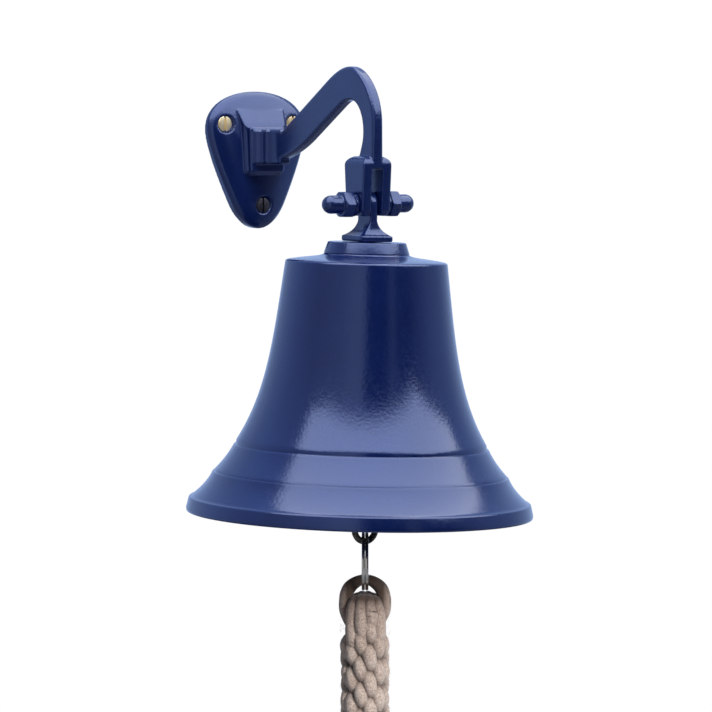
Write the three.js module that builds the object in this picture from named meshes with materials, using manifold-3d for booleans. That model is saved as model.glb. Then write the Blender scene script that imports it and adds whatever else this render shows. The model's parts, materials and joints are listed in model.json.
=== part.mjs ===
// A wall-hung ship bell: a cast wall plate, a swan-neck arm ending in a fork, and a
// painted bell that swings on a cross bolt, with its clapper, split ring and rope lanyard.
// Millimetres, +Z up. The wall is the plane y = 0 and the bell stands out from it along -Y.
import * as THREE from 'three';
import { mergeVertices } from 'three/addons/utils/BufferGeometryUtils.js';
import Module from 'manifold-3d';

const wasm = await Module();
wasm.setup();

// ---------- driving dimensions ----------
const REACH = 118;            // wall to the bell's axis
const PIVOT_Z = -21.5;        // cross bolt, measured from the middle of the wall plate
const GAP = 0.3;              // air between touching pieces
const BELL_LEAN = 0.4 * Math.PI / 180;  // the bell hangs with its mouth a little to the wall
const BELL_TILT = 1.6 * Math.PI / 180;  // and, in the play of the fork, a little to -X

const MOUTH_RADIUS = 91;
const SHOULDER_RADIUS = 42.4;
const SEAT_DROP = 26.4;       // pivot to the flat on the crown
const SHOULDER_DROP = 30.3;   // pivot to the crown's sharp edge
const BELL_HEIGHT = 132;      // crown edge to mouth
const FIRST_RIDGE = 96.3;     // below the crown edge
const SECOND_RIDGE = 110.6;
const LIP_TOP = 124.3;
const WALL = 4.2;             // bell metal at the waist
const BELL_SEGMENTS = 48;

const PLATE_TOP = 37.4;
const PLATE_BOTTOM = -37.4;
const PLATE_HALF_WIDTH = 30.8;
const RIM_AT_TOP = 3.6;       // plate edge thickness, growing towards the bottom
const RIM_AT_BOTTOM = 7.4;
const PLATE_CROWN = 5.2;      // how far the face bulges beyond its rim
const PAD_FACE = 13;          // wall to the face of the arm's pad
const TOP_SCREW = { x: 21.5, z: 19.8, face: 6.3 };
const BOTTOM_SCREW = { x: 1, z: -24.6, face: 8.8 };
const SCREW_HEAD_RADIUS = 4.2;
const SCREW_SHANK_RADIUS = 2.1;
const SCREW_LENGTH = 19;      // No. 8 by 3/4 inch
const FIXING_Z = 9.4;         // machine screw that holds the arm to the plate
const FIXING_RADIUS = 3;
const FIXING_HEAD_FLARE = 3.3;
const FIXING_SUNK = 0.6;      // its head lies below the plate's back
const FIXING_END = 24;        // wall to the screw's tip

const BAR_WIDTH = 6.4;        // arm's thickness across X
const BAR_CHAMFER = 1.2;
const FORK_WIDTH = 17.3;
const FORK_DEPTH = 20;
const FORK_TOP = 3.4;
const FORK_BOTTOM = -27.6;
const SLOT_WIDTH = 6.6;
const SLOT_TOP = -3;

const BOLT_RADIUS = 4;        // M8
const NUT_FLATS = 13;
const NUT_LENGTH = 6;
const DOME_RADIUS = 4.8;
const DOME_TIP = 27.5;        // from the middle of the fork
const SPRING_WASHER = 1.9;

const TONGUE_THICKNESS = 4.5;
const TONGUE_RADIUS = 6.6;
const FOOT_SIDE = 20;
const FOOT_THICKNESS = 3.2;
const COLLAR_HEIGHT = 6.6;
const STUD_RADIUS = 4;
const CROWN_THICKNESS = 5;

const EYE_RING = 7.5;         // eye nut: middle radius of its eye
const EYE_WIRE = 2.25;
const LINK_WIRE = 1.9;
const LINK_HALF_WIDTH = 6.4;  // to the middle of the wire
const LINK_INSIDE = 20;
const ROD_EYE_RING = 6.3;
const ROD_EYE_WIRE = 2.1;
const ROD_RADIUS = 3;
const BALL_RADIUS = 13.5;
const RING_EYE = 6.4;         // ring at the clapper's lower end
const RING_EYE_WIRE = 1.9;
const RUNNING = 0.35;         // clearance where one ring hangs in another

const SPLIT_RADIUS = 15.2;
const SPLIT_WIRE = 2.2;
const SPLIT_WIDTH = 3.6;
const LANYARD_TURN = -32 * Math.PI / 180;

const STRAND_RADIUS = 2.6;
const LOOP_RADIUS = 10.4;
const BRAID_DIAMETER = 26;
const BRAID_LENGTH = 178;
const KNOT_RADIUS = 16.5;
const KNOT_LENGTH = 25;
const TASSEL_LENGTH = 44;

// heights that follow from them, all measured down from the pivot inside the bell group
const CROWN_INSIDE = -(SEAT_DROP + CROWN_THICKNESS);
const EYE_NUT_TOP = CROWN_INSIDE - 2.2;
const EYE_CENTRE = EYE_NUT_TOP - 7 - EYE_RING - 0.7;
const EYE_PIVOT = EYE_CENTRE - EYE_RING;
const LINK_TOP_INSIDE = EYE_WIRE + RUNNING;
const LINK_PIVOT = LINK_TOP_INSIDE - LINK_INSIDE - LINK_WIRE;
const ROD_EYE_CENTRE = LINK_WIRE + RUNNING - (ROD_EYE_RING - ROD_EYE_WIRE);
const RING_EYE_CENTRE = -192 - PIVOT_Z - EYE_PIVOT - LINK_PIVOT;
const BALL_CENTRE = RING_EYE_CENTRE + 26;
const SPLIT_TOP_INSIDE = RING_EYE_WIRE + 0.6;
const SPLIT_CENTRE = SPLIT_TOP_INSIDE - (SPLIT_RADIUS - SPLIT_WIRE);
const SPLIT_PIVOT = SPLIT_CENTRE - SPLIT_RADIUS + SPLIT_WIRE / 2;

// ---------- materials ----------
const finish = (color, roughness, metalness) =>
  new THREE.MeshStandardMaterial({ color, roughness, metalness });
const NAVY = finish(0x1f3570, 0.3, 0.1);
const BRASS = finish(0xb49a5a, 0.3, 1);
const STEEL = finish(0x9a9894, 0.3, 1);
const IRON = finish(0x2b2a2a, 0.6, 0.8);
const COTTON = finish(0xcdc3bb, 0.95, 0);

// ---------- solids ----------
// A closed geometry as a manifold, for cutting and joining.
function solidOf(geometry) {
  const bare = geometry.clone();
  bare.deleteAttribute('normal');
  bare.deleteAttribute('uv');
  const merged = mergeVertices(bare, 1e-4);
  const index = merged.index.array;
  const kept = [];
  for (let i = 0; i < index.length; i += 3) {
    const [a, b, c] = [index[i], index[i + 1], index[i + 2]];
    if (a !== b && b !== c && c !== a) kept.push(a, b, c);
  }
  const vertProperties = Float32Array.from(merged.attributes.position.array);
  const triVerts = Uint32Array.from(kept);
  return new wasm.Manifold(new wasm.Mesh({ numProp: 3, vertProperties, triVerts }));
}

function geometryOf(solid) {
  const mesh = solid.getMesh();
  const geometry = new THREE.BufferGeometry();
  geometry.setAttribute('position', new THREE.BufferAttribute(mesh.vertProperties, 3));
  geometry.setIndex(new THREE.BufferAttribute(mesh.triVerts, 1));
  geometry.computeVertexNormals();
  return geometry;
}

const join = (first, ...others) =>
  geometryOf(others.reduce((sum, next) => sum.add(solidOf(next)), solidOf(first)));
const cut = (first, ...others) =>
  geometryOf(others.reduce((rest, next) => rest.subtract(solidOf(next)), solidOf(first)));
const common = (first, second) => geometryOf(solidOf(first).intersect(solidOf(second)));

function box(x0, x1, y0, y1, z0, z1) {
  const geometry = new THREE.BoxGeometry(x1 - x0, y1 - y0, z1 - z0);
  return geometry.translate((x0 + x1) / 2, (y0 + y1) / 2, (z0 + z1) / 2);
}

// A profile of [radius, height] pairs turned about Z.
function turned(profile, segments = 32) {
  const points = profile.map(([r, z]) => new THREE.Vector2(r, z));
  return new THREE.LatheGeometry(points, segments).rotateX(Math.PI / 2);
}

function closedProfile(profile) {
  return [...profile, profile[0]];
}

// The same about Y: heights run away from the wall, along -Y.
const turnedOutward = (profile, segments) => turned(profile, segments).rotateX(Math.PI / 2);
// The same about X.
const turnedAcross = (profile, segments) => turned(profile, segments).rotateY(Math.PI / 2);

const rod = (radius, low, high, segments = 24) =>
  turned([[0, low], [radius, low], [radius, high], [0, high]], segments);

// A ring of round wire in the XZ plane.
const ringFacingY = (middle, wire) =>
  new THREE.TorusGeometry(middle, wire, 8, 24).rotateX(Math.PI / 2);

function circle(radius, sides) {
  const corners = [];
  for (let i = 0; i < sides; i += 1) {
    const angle = i / sides * 2 * Math.PI;
    corners.push(new THREE.Vector2(radius * Math.cos(angle), radius * Math.sin(angle)));
  }
  return new THREE.Shape(corners);
}

// ---------- wall plate ----------
// Half the teardrop outline, from the top round to the bottom tip.
function plateOutline(count) {
  const side = new THREE.CurvePath();
  const v = (x, z) => new THREE.Vector2(x, z);
  const w = PLATE_HALF_WIDTH;
  side.add(new THREE.CubicBezierCurve(v(0, PLATE_TOP), v(17, PLATE_TOP), v(w, 30), v(w, 17)));
  side.add(new THREE.CubicBezierCurve(v(w, 17), v(w, 7.5), v(21.8, -12.5), v(16.2, -24)));
  side.add(new THREE.CubicBezierCurve(v(16.2, -24), v(11.7, -33), v(5.5, PLATE_BOTTOM),
    v(0, PLATE_BOTTOM)));
  const right = side.getSpacedPoints(count);
  const left = right.slice(1, -1).reverse().map((p) => v(-p.x, p.y));
  return [...right, ...left];
}

// The domed plate as rings that shrink from the outline to its middle, over a flat back.
function plateBody() {
  const outline = plateOutline(22);
  const centre = new THREE.Vector2(0, 4);
  const levels = [1, 0.975, 0.93, 0.84, 0.7, 0.5, 0.25];
  const rim = (z) =>
    THREE.MathUtils.mapLinear(z, PLATE_TOP, PLATE_BOTTOM, RIM_AT_TOP, RIM_AT_BOTTOM);
  const positions = [];
  const addRing = (share, depth) => outline.forEach((p) => {
    const at = centre.clone().lerp(p, share);
    positions.push(at.x, -depth(at.y, share), at.y);
  });
  addRing(1, () => 0);
  levels.forEach((level) => addRing(level, (z, share) => {
    const edge = Math.min(1, Math.sqrt((1 - share) / 0.07));
    return (rim(z) - 1.6) + 1.6 * edge + PLATE_CROWN * (1 - share ** 3);
  }));
  const back = positions.length / 3;
  positions.push(centre.x, 0, centre.y);
  positions.push(centre.x, -(rim(centre.y) + PLATE_CROWN), centre.y);
  const count = outline.length;
  const index = [];
  for (let k = 0; k < count; k += 1) {
    const next = (k + 1) % count;
    index.push(back, k, next);
    for (let level = 0; level < levels.length; level += 1) {
      const [low, high] = [level * count, (level + 1) * count];
      index.push(low + k, high + k, high + next, low + k, high + next, low + next);
    }
    const last = levels.length * count;
    index.push(last + k, back + 1, last + next);
  }
  const geometry = new THREE.BufferGeometry();
  geometry.setAttribute('position', new THREE.Float32BufferAttribute(positions, 3));
  geometry.setIndex(index);
  return geometry;
}

function screwHole({ x, z, face }) {
  const head = SCREW_HEAD_RADIUS + 0.5;
  const shank = SCREW_SHANK_RADIUS + 0.4;
  const sink = face - (head - shank);
  const profile = [[0, -1], [shank, -1], [shank, sink], [head, face], [head, 20], [0, 20]];
  return turnedOutward(profile, 24).translate(x, 0, z);
}

// A block with rounded corners, `low` to `high` and standing out from `near` to `far`.
function padBlock(narrow, wide, low, high, near, far, bevel) {
  const round = 2.2;
  const outline = new THREE.Shape();
  outline.moveTo(-narrow + round, low);
  outline.lineTo(narrow - round, low);
  outline.quadraticCurveTo(narrow, low, narrow, low + round);
  outline.lineTo(wide, high - round);
  outline.quadraticCurveTo(wide, high, wide - round, high);
  outline.lineTo(-wide + round, high);
  outline.quadraticCurveTo(-wide, high, -wide, high - round);
  outline.lineTo(-narrow, low + round);
  outline.quadraticCurveTo(-narrow, low, -narrow + round, low);
  return new THREE.ExtrudeGeometry(outline, {
    depth: far - near - 2 * bevel, bevelThickness: bevel, bevelSize: bevel, bevelOffset: -bevel,
    bevelSegments: 2, curveSegments: 4,
  }).rotateX(Math.PI / 2).translate(0, -near - bevel, 0);
}

function wallPlate() {
  const whole = join(plateBody(), padBlock(11.8, 13.2, -7.6, 19.6, 3, PAD_FACE, 1.4));
  const front = box(-40, 40, -30, 0, -50, 50);
  const wide = FIXING_RADIUS + FIXING_HEAD_FLARE + 0.4;
  const narrow = FIXING_RADIUS + 0.4;
  const sunk = turnedOutward([[0, -1], [wide, -1], [wide, FIXING_SUNK],
    [narrow, FIXING_SUNK + FIXING_HEAD_FLARE], [narrow, 30], [0, 30]], 24);
  sunk.translate(0, 0, FIXING_Z);
  const holes = [{ ...TOP_SCREW, x: -TOP_SCREW.x }, TOP_SCREW, BOTTOM_SCREW].map(screwHole);
  return cut(common(whole, front), sunk, ...holes);
}

// A countersunk wood screw with its head's face at y = 0 and its point in the wall.
function wallScrew() {
  const cone = SCREW_HEAD_RADIUS - SCREW_SHANK_RADIUS;
  const taper = -SCREW_LENGTH + 6;
  const body = turnedOutward([[0, -SCREW_LENGTH], [SCREW_SHANK_RADIUS * 0.75, taper],
    [SCREW_SHANK_RADIUS, taper], [SCREW_SHANK_RADIUS, -cone], [SCREW_HEAD_RADIUS, 0],
    [0, 0.35]], 24);
  const slot = box(-0.55, 0.55, -2, 1.1, -6, 6);
  return cut(body, slot);
}

// The countersunk socket screw that comes through the plate from behind, into the arm.
function fixingScrew() {
  const neck = FIXING_SUNK + FIXING_HEAD_FLARE;
  const body = turnedOutward([[0, FIXING_SUNK], [FIXING_RADIUS + FIXING_HEAD_FLARE, FIXING_SUNK],
    [FIXING_RADIUS, neck], [FIXING_RADIUS, FIXING_END], [0, FIXING_END]]);
  const socket = turnedOutward([[0, -1], [2.3, -1], [2.3, 3], [0, 3]], 6);
  return cut(body, socket);
}

// ---------- arm ----------
// The swan neck seen from the side, as [distance from the wall, height].
function neckOutline() {
  const shape = new THREE.Shape();
  shape.moveTo(26, 12);
  shape.lineTo(32, 14.6);
  shape.lineTo(76, 40);
  shape.bezierCurveTo(84, 44.7, 93, 50.2, 102.5, 50.2);
  shape.bezierCurveTo(113, 50.2, 128.2, 38, 128.2, 20);
  shape.lineTo(128, -2);
  shape.lineTo(112, -2);
  shape.bezierCurveTo(112.4, 5, 117, 9, 117, 16);
  shape.bezierCurveTo(117, 26, 110.5, 32.6, 103.8, 32.6);
  shape.bezierCurveTo(100, 32.6, 96.5, 30.8, 92, 28.2);
  shape.lineTo(62, 11.2);
  shape.bezierCurveTo(53, 6.3, 42, 1.9, 26, -0.9);
  shape.closePath();
  return shape;
}

// A shape drawn as [distance from the wall, height], given a thickness across X.
function sideExtrusion(shape, width, chamfer, curveSegments) {
  const geometry = new THREE.ExtrudeGeometry(shape, {
    depth: width - 2 * chamfer, bevelThickness: chamfer, bevelSize: chamfer,
    bevelOffset: -chamfer, bevelSegments: 1, curveSegments,
  });
  geometry.translate(0, 0, -(width / 2 - chamfer));
  return geometry.rotateX(Math.PI / 2).rotateZ(-Math.PI / 2);
}

// The root: a flange on the plate's pad, and a column waisted in two hollows down to the bar.
function armRoot() {
  const half = new THREE.CurvePath();
  const v = (x, y) => new THREE.Vector2(x, y);
  half.add(new THREE.QuadraticBezierCurve(v(9.6, 13.4), v(10, 17.4), v(8.2, 18.4)));
  half.add(new THREE.QuadraticBezierCurve(v(8.2, 18.4), v(5.6, 19.6), v(6.2, 23.6)));
  half.add(new THREE.QuadraticBezierCurve(v(6.2, 23.6), v(3.2, 25), v(3.1, 34)));
  const right = half.getPoints(5);
  const shape = new THREE.Shape([...right, ...right.slice().reverse().map((p) => v(-p.x, p.y))]);
  const chamfer = 1;
  const [low, high] = [-1.9, 16.8];
  const tall = new THREE.ExtrudeGeometry(shape, {
    depth: high - low - 2 * chamfer, bevelThickness: chamfer, bevelSize: chamfer,
    bevelOffset: -chamfer, bevelSegments: 1,
  });
  tall.rotateX(Math.PI).translate(0, 0, high - chamfer);
  const slope = box(-20, 20, -40, 40, 0, 40).rotateX(-0.16).translate(0, -13, 16.8);
  const flange = padBlock(10.6, 11.2, -6.8, 18.4, PAD_FACE + GAP, PAD_FACE + 3, 0.7);
  return join(cut(tall, slope), flange);
}

// The fork: one outline from the front and one from the side, both with rounded shoulders.
function forkBlock() {
  const shouldered = (half, neck, middle) => {
    const shape = new THREE.Shape();
    shape.moveTo(middle - half + 1.2, FORK_BOTTOM);
    shape.lineTo(middle + half - 1.2, FORK_BOTTOM);
    shape.lineTo(middle + half, FORK_BOTTOM + 3);
    shape.lineTo(middle + half, FORK_TOP - 4.6);
    shape.quadraticCurveTo(middle + half, FORK_TOP - 1.6, middle + neck, FORK_TOP);
    shape.lineTo(middle - neck, FORK_TOP);
    shape.quadraticCurveTo(middle - half, FORK_TOP - 1.6, middle - half, FORK_TOP - 4.6);
    shape.lineTo(middle - half, FORK_BOTTOM + 3);
    shape.closePath();
    return shape;
  };
  const front = new THREE.ExtrudeGeometry(shouldered(FORK_WIDTH / 2, 4.4, 0),
    { depth: 60, bevelEnabled: false, curveSegments: 5 }).rotateX(Math.PI / 2);
  front.translate(0, -REACH + 30, 0);
  const side = sideExtrusion(shouldered(FORK_DEPTH / 2, 7, REACH), FORK_WIDTH, 0.6, 5);
  return common(front, side);
}

function bracketArm() {
  const neck = sideExtrusion(neckOutline(), BAR_WIDTH, BAR_CHAMFER, 12);
  const whole = join(neck, armRoot(), forkBlock());
  const slot = box(-SLOT_WIDTH / 2, SLOT_WIDTH / 2, -REACH - 20, -REACH + 20, -60, SLOT_TOP);
  const bore = turnedAcross([[0, -20], [BOLT_RADIUS + 0.2, -20], [BOLT_RADIUS + 0.2, 20], [0, 20]])
    .translate(0, -REACH, PIVOT_Z);
  const tapping = FIXING_RADIUS + GAP;
  const tapped = turnedOutward([[0, 0], [tapping, 0], [tapping, FIXING_END + 2],
    [0, FIXING_END + 3.5]]).translate(0, 0, FIXING_Z);
  return cut(whole, slot, bore, tapped);
}

// ---------- cross bolt ----------
const NUT_START = FORK_WIDTH / 2 + SPRING_WASHER + 2 * GAP;

function pivotBolt() {
  const half = NUT_START + NUT_LENGTH;
  return turnedAcross([[0, -half], [BOLT_RADIUS, -half], [BOLT_RADIUS, half], [0, half]]);
}

// A domed nut with its open end at x = 0 and its dome towards +X.
function domedNut() {
  const corner = NUT_FLATS / 2 / Math.cos(Math.PI / 6);
  const hexagon = turnedAcross([[0, 0], [corner, 0], [corner, NUT_LENGTH], [0, NUT_LENGTH]], 6);
  const trim = turnedAcross([[0, 0], [corner - 0.7, 0], [corner, 0.6], [corner, NUT_LENGTH - 1.4],
    [NUT_FLATS / 2 - 0.5, NUT_LENGTH], [0, NUT_LENGTH]], 24);
  const tip = DOME_TIP - NUT_START;
  const arc = [];
  for (let step = 0; step <= 5; step += 1) {
    const angle = step / 5 * Math.PI / 2;
    arc.push([DOME_RADIUS * Math.cos(angle), tip - DOME_RADIUS * (1 - Math.sin(angle))]);
  }
  arc[5][0] = 0;
  const dome = turnedAcross([[0, 1], [DOME_RADIUS, 1], ...arc], 24);
  const bore = turnedAcross([[0, -1], [BOLT_RADIUS + GAP, -1], [BOLT_RADIUS + GAP, NUT_LENGTH + GAP],
    [0, NUT_LENGTH + GAP]], 24);
  return cut(join(common(hexagon, trim), dome), bore);
}

// A split lock washer, lying along +X from x = 0.
function springWasher() {
  const whole = turnedAcross(closedProfile([[BOLT_RADIUS + GAP, 0], [6.4, 0], [6.4, SPRING_WASHER],
    [BOLT_RADIUS + GAP, SPRING_WASHER]]), 28);
  return cut(whole, box(-1, 4, -0.5, 0.5, -8, 0).rotateX(0.5));
}

// ---------- bell ----------
const drop = (below) => -(SHOULDER_DROP + below);
const waist = (below) => SHOULDER_RADIUS + 0.125 * below + 11.9 * (below / 95.5) ** 4;

// A moulding between two radii that swells by `bulge` in its middle.
function swell(r0, s0, r1, s1, bulge, steps) {
  const points = [];
  for (let i = 0; i <= steps; i += 1) {
    const t = i / steps;
    points.push([r0 + (r1 - r0) * t + 4 * bulge * t * (1 - t), drop(s0 + (s1 - s0) * t)]);
  }
  return points;
}

function bellOutside() {
  const outside = [[STUD_RADIUS + 0.4, -SEAT_DROP], [22.6, -SEAT_DROP]];
  outside.push([32, -SEAT_DROP - 1.1], [SHOULDER_RADIUS - 1.2, drop(-0.7)]);
  outside.push([SHOULDER_RADIUS - 0.3, drop(-0.3)], [SHOULDER_RADIUS, drop(0.4)]);
  for (let below = 6; below < FIRST_RIDGE; below += 9) outside.push([waist(below), drop(below)]);
  outside.push([waist(FIRST_RIDGE - 0.3), drop(FIRST_RIDGE - 0.3)]);
  outside.push(...swell(67.3, FIRST_RIDGE + 0.3, 76.5, SECOND_RIDGE - 0.3, 0.35, 3));
  outside.push(...swell(77.2, SECOND_RIDGE + 0.3, 88.2, LIP_TOP - 0.2, 0.6, 3));
  outside.push([MOUTH_RADIUS - 1.2, drop(LIP_TOP + 0.3)], [MOUTH_RADIUS, drop(130.2)]);
  outside.push([MOUTH_RADIUS - 0.4, drop(131.5)], [MOUTH_RADIUS - 1.5, drop(BELL_HEIGHT)]);
  return outside;
}

function bellInside() {
  const inside = [[87, drop(BELL_HEIGHT)], [85.6, drop(131.2)], [83, drop(128)]];
  inside.push([75.8, drop(118)], [68.3, drop(108)], [61.3, drop(97)]);
  for (let below = 86; below > 10; below -= 12) inside.push([waist(below) - WALL, drop(below)]);
  inside.push([37.6, drop(6.5)], [34.5, drop(3)], [28, CROWN_INSIDE - 0.6]);
  inside.push([14, CROWN_INSIDE], [STUD_RADIUS + 0.4, CROWN_INSIDE]);
  return inside;
}

function bellShell() {
  const profile = [...bellOutside(), ...bellInside()].reverse();
  return turned(closedProfile(profile), BELL_SEGMENTS);
}

// ---------- hanger ----------
// One outline from the front and one from the side: a tongue that flares into a square foot.
function hangerOutline(half, flat) {
  const foot = FOOT_SIDE / 2;
  const footTop = -(SEAT_DROP - COLLAR_HEIGHT - GAP) + FOOT_THICKNESS;
  const shape = new THREE.Shape();
  shape.moveTo(-foot, footTop - FOOT_THICKNESS);
  shape.lineTo(foot, footTop - FOOT_THICKNESS);
  shape.lineTo(foot, footTop - 0.4);
  shape.bezierCurveTo(foot - 3.4, footTop + 1.2, half + 0.5, -12.2, half, -8.6);
  if (flat) {
    shape.lineTo(half, TONGUE_RADIUS);
    shape.lineTo(-half, TONGUE_RADIUS);
  } else {
    shape.lineTo(half, 0);
    shape.absarc(0, 0, half, 0, Math.PI, false);
  }
  shape.lineTo(-half, -8.6);
  shape.bezierCurveTo(-half - 0.5, -12.2, -foot + 3.4, footTop + 1.2, -foot, footTop - 0.4);
  shape.closePath();
  return shape;
}

function hanger() {
  const settings = { depth: 60, bevelEnabled: false, curveSegments: 8 };
  const front = new THREE.ExtrudeGeometry(hangerOutline(TONGUE_THICKNESS / 2, true), settings);
  front.rotateX(Math.PI / 2).translate(0, 30, 0);
  const side = new THREE.ExtrudeGeometry(hangerOutline(TONGUE_RADIUS, false), settings);
  side.translate(0, 0, -30).rotateX(Math.PI / 2).rotateZ(-Math.PI / 2);
  const stud = rod(STUD_RADIUS, EYE_NUT_TOP - 6.5, -SEAT_DROP + COLLAR_HEIGHT + 2);
  const bore = turnedAcross([[0, -20], [BOLT_RADIUS + 0.2, -20], [BOLT_RADIUS + 0.2, 20], [0, 20]]);
  return cut(join(common(front, side), stud), bore);
}

function crownCollar() {
  const base = -SEAT_DROP + GAP;
  const top = base + COLLAR_HEIGHT - GAP;
  const hole = STUD_RADIUS + 0.4;
  return turned(closedProfile([[hole, base], [21.9, base], [22.4, base + 0.5], [22.3, base + 1.5],
    [20.9, top - 0.6], [20.3, top], [hole, top]]), 40);
}

function insideWasher() {
  const hole = STUD_RADIUS + 0.4;
  const top = CROWN_INSIDE - GAP;
  return turned(closedProfile([[hole, top - 1.6], [9, top - 1.6], [9, top], [hole, top]]), 32);
}

function eyeNut() {
  const collar = turned([[0, EYE_NUT_TOP - 7], [6.4, EYE_NUT_TOP - 7], [8, EYE_NUT_TOP - 5],
    [8, EYE_NUT_TOP], [0, EYE_NUT_TOP]], 24);
  const neck = rod(3.4, EYE_NUT_TOP - 9, EYE_NUT_TOP - 6, 16);
  const eye = ringFacingY(EYE_RING, EYE_WIRE).translate(0, 0, EYE_CENTRE);
  const bore = rod(STUD_RADIUS + GAP, EYE_NUT_TOP - 6.8, 0, 24);
  return cut(join(collar, neck, eye), bore);
}

// ---------- clapper ----------
// A closed oval link, hanging from z = 0 where it crosses the wire of the eye above.
function clapperLink() {
  const straight = LINK_INSIDE / 2 + LINK_WIRE / 2 - LINK_HALF_WIDTH + LINK_WIRE / 2;
  const middle = LINK_TOP_INSIDE - LINK_INSIDE / 2;
  const points = [];
  for (let step = 0; step < 24; step += 1) {
    const angle = (step + 0.5) / 24 * 2 * Math.PI;
    const shift = Math.sin(angle) > 0 ? straight : -straight;
    points.push(new THREE.Vector3(0, LINK_HALF_WIDTH * Math.cos(angle),
      middle + shift + LINK_HALF_WIDTH * Math.sin(angle)));
  }
  const route = new THREE.CatmullRomCurve3(points, true, 'centripetal');
  return new THREE.ExtrudeGeometry(circle(LINK_WIRE, 8),
    { steps: 28, bevelEnabled: false, extrudePath: route });
}

function clapperRod() {
  const top = ringFacingY(ROD_EYE_RING, ROD_EYE_WIRE).translate(0, 0, ROD_EYE_CENTRE);
  const shaft = turned([[0, RING_EYE_CENTRE + 7], [2.2, RING_EYE_CENTRE + 7],
    [2.6, RING_EYE_CENTRE + 11], [ROD_RADIUS, BALL_CENTRE - 13], [ROD_RADIUS, ROD_EYE_CENTRE - 10],
    [2.4, ROD_EYE_CENTRE - 6.6], [0, ROD_EYE_CENTRE - 6.6]], 20);
  const low = ringFacingY(RING_EYE, RING_EYE_WIRE).translate(0, 0, RING_EYE_CENTRE);
  return join(top, shaft, low);
}

function clapperBall() {
  const profile = [];
  const bore = ROD_RADIUS + GAP;
  const first = Math.asin(bore / BALL_RADIUS);
  const steps = 12;
  for (let step = 0; step <= steps; step += 1) {
    const angle = first + (Math.PI - 2 * first) * step / steps;
    profile.push([BALL_RADIUS * Math.sin(angle), -BALL_RADIUS * Math.cos(angle)]);
  }
  return turned(closedProfile(profile), 24).translate(0, 0, BALL_CENTRE);
}

// ---------- split ring ----------
// Two flat windings lying against each other, with the groove between them.
function splitRing() {
  const [inner, outer, half] = [SPLIT_RADIUS - SPLIT_WIRE, SPLIT_RADIUS, SPLIT_WIDTH / 2];
  const whole = turned(closedProfile([[inner, -half + 0.5], [inner + 0.5, -half],
    [outer - 0.5, -half], [outer, -half + 0.5], [outer, -0.15], [outer - 0.5, 0],
    [outer, 0.15], [outer, half - 0.5], [outer - 0.5, half], [inner + 0.5, half],
    [inner, half - 0.5]]), 36);
  return whole.rotateY(Math.PI / 2).translate(0, 0, SPLIT_CENTRE);
}

// ---------- lanyard ----------
// Its group's z = 0 is the middle of the split ring's lowest wire.
const ROPE_TOP = SPLIT_WIRE / 2 + GAP + STRAND_RADIUS;
const BRAID_TOP = ROPE_TOP - LOOP_RADIUS - 0.8;

// One strand arched over the ring's wire, with both ends in the top of the braid.
function lanyardEye() {
  const points = [new THREE.Vector3(-LOOP_RADIUS, 0, BRAID_TOP + GAP)];
  for (let step = 0; step <= 8; step += 1) {
    const angle = Math.PI * (1 - step / 8);
    points.push(new THREE.Vector3(LOOP_RADIUS * Math.cos(angle), 0,
      ROPE_TOP - LOOP_RADIUS + LOOP_RADIUS * Math.sin(angle)));
  }
  points.push(new THREE.Vector3(LOOP_RADIUS, 0, BRAID_TOP + GAP));
  const route = new THREE.CatmullRomCurve3(points);
  return new THREE.ExtrudeGeometry(circle(STRAND_RADIUS, 10),
    { steps: 22, bevelEnabled: false, extrudePath: route });
}

// The braided part: a straight fall of limp rope.
function lanyardBraid() {
  const fall = [0, 0.25, 0.5, 0.75, 1].map((share) =>
    new THREE.Vector3(0, 0, BRAID_TOP - share * BRAID_LENGTH));
  return new THREE.ExtrudeGeometry(circle(BRAID_DIAMETER / 2, 12),
    { steps: 6, bevelEnabled: false, extrudePath: new THREE.CatmullRomCurve3(fall) });
}

const KNOT_TOP = BRAID_TOP - BRAID_LENGTH - GAP;

function lanyardKnot() {
  const profile = [];
  for (let step = 0; step <= 10; step += 1) {
    const angle = Math.PI * (step / 10 - 0.5);
    const belly = 9 + (KNOT_RADIUS - 9) * Math.cos(angle);
    profile.push([belly, KNOT_TOP - KNOT_LENGTH / 2 + KNOT_LENGTH / 2 * Math.sin(angle)]);
  }
  return turned([[0, KNOT_TOP - KNOT_LENGTH], ...profile, [0, KNOT_TOP]], 20);
}

function lanyardTassel() {
  const top = KNOT_TOP - KNOT_LENGTH - GAP;
  return turned([[0, top - TASSEL_LENGTH], [15.5, top - TASSEL_LENGTH], [15, top - 28],
    [12.6, top - 12], [10, top - 3], [8.6, top], [0, top]], 20);
}

// ---------- assembly ----------
const bell = new THREE.Group();

function add(parent, name, geometry, material, x = 0, y = 0, z = 0) {
  const mesh = new THREE.Mesh(geometry, material);
  mesh.name = name;
  mesh.position.set(x, y, z);
  parent.add(mesh);
  return mesh;
}

function groupAt(parent, x, y, z) {
  const group = new THREE.Group();
  group.position.set(x, y, z);
  parent.add(group);
  return group;
}

add(bell, 'wall_plate', wallPlate(), NAVY);
add(bell, 'bracket_arm', bracketArm(), NAVY);
add(bell, 'arm_fixing_screw', fixingScrew(), STEEL, 0, 0, FIXING_Z);
const screwPlaces = { left: { ...TOP_SCREW, x: -TOP_SCREW.x }, right: TOP_SCREW, bottom: BOTTOM_SCREW };
for (const [where, { x, z, face }] of Object.entries(screwPlaces)) {
  add(bell, `wall_screw_${where}`, wallScrew(), BRASS, x, -face, z);
}

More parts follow.
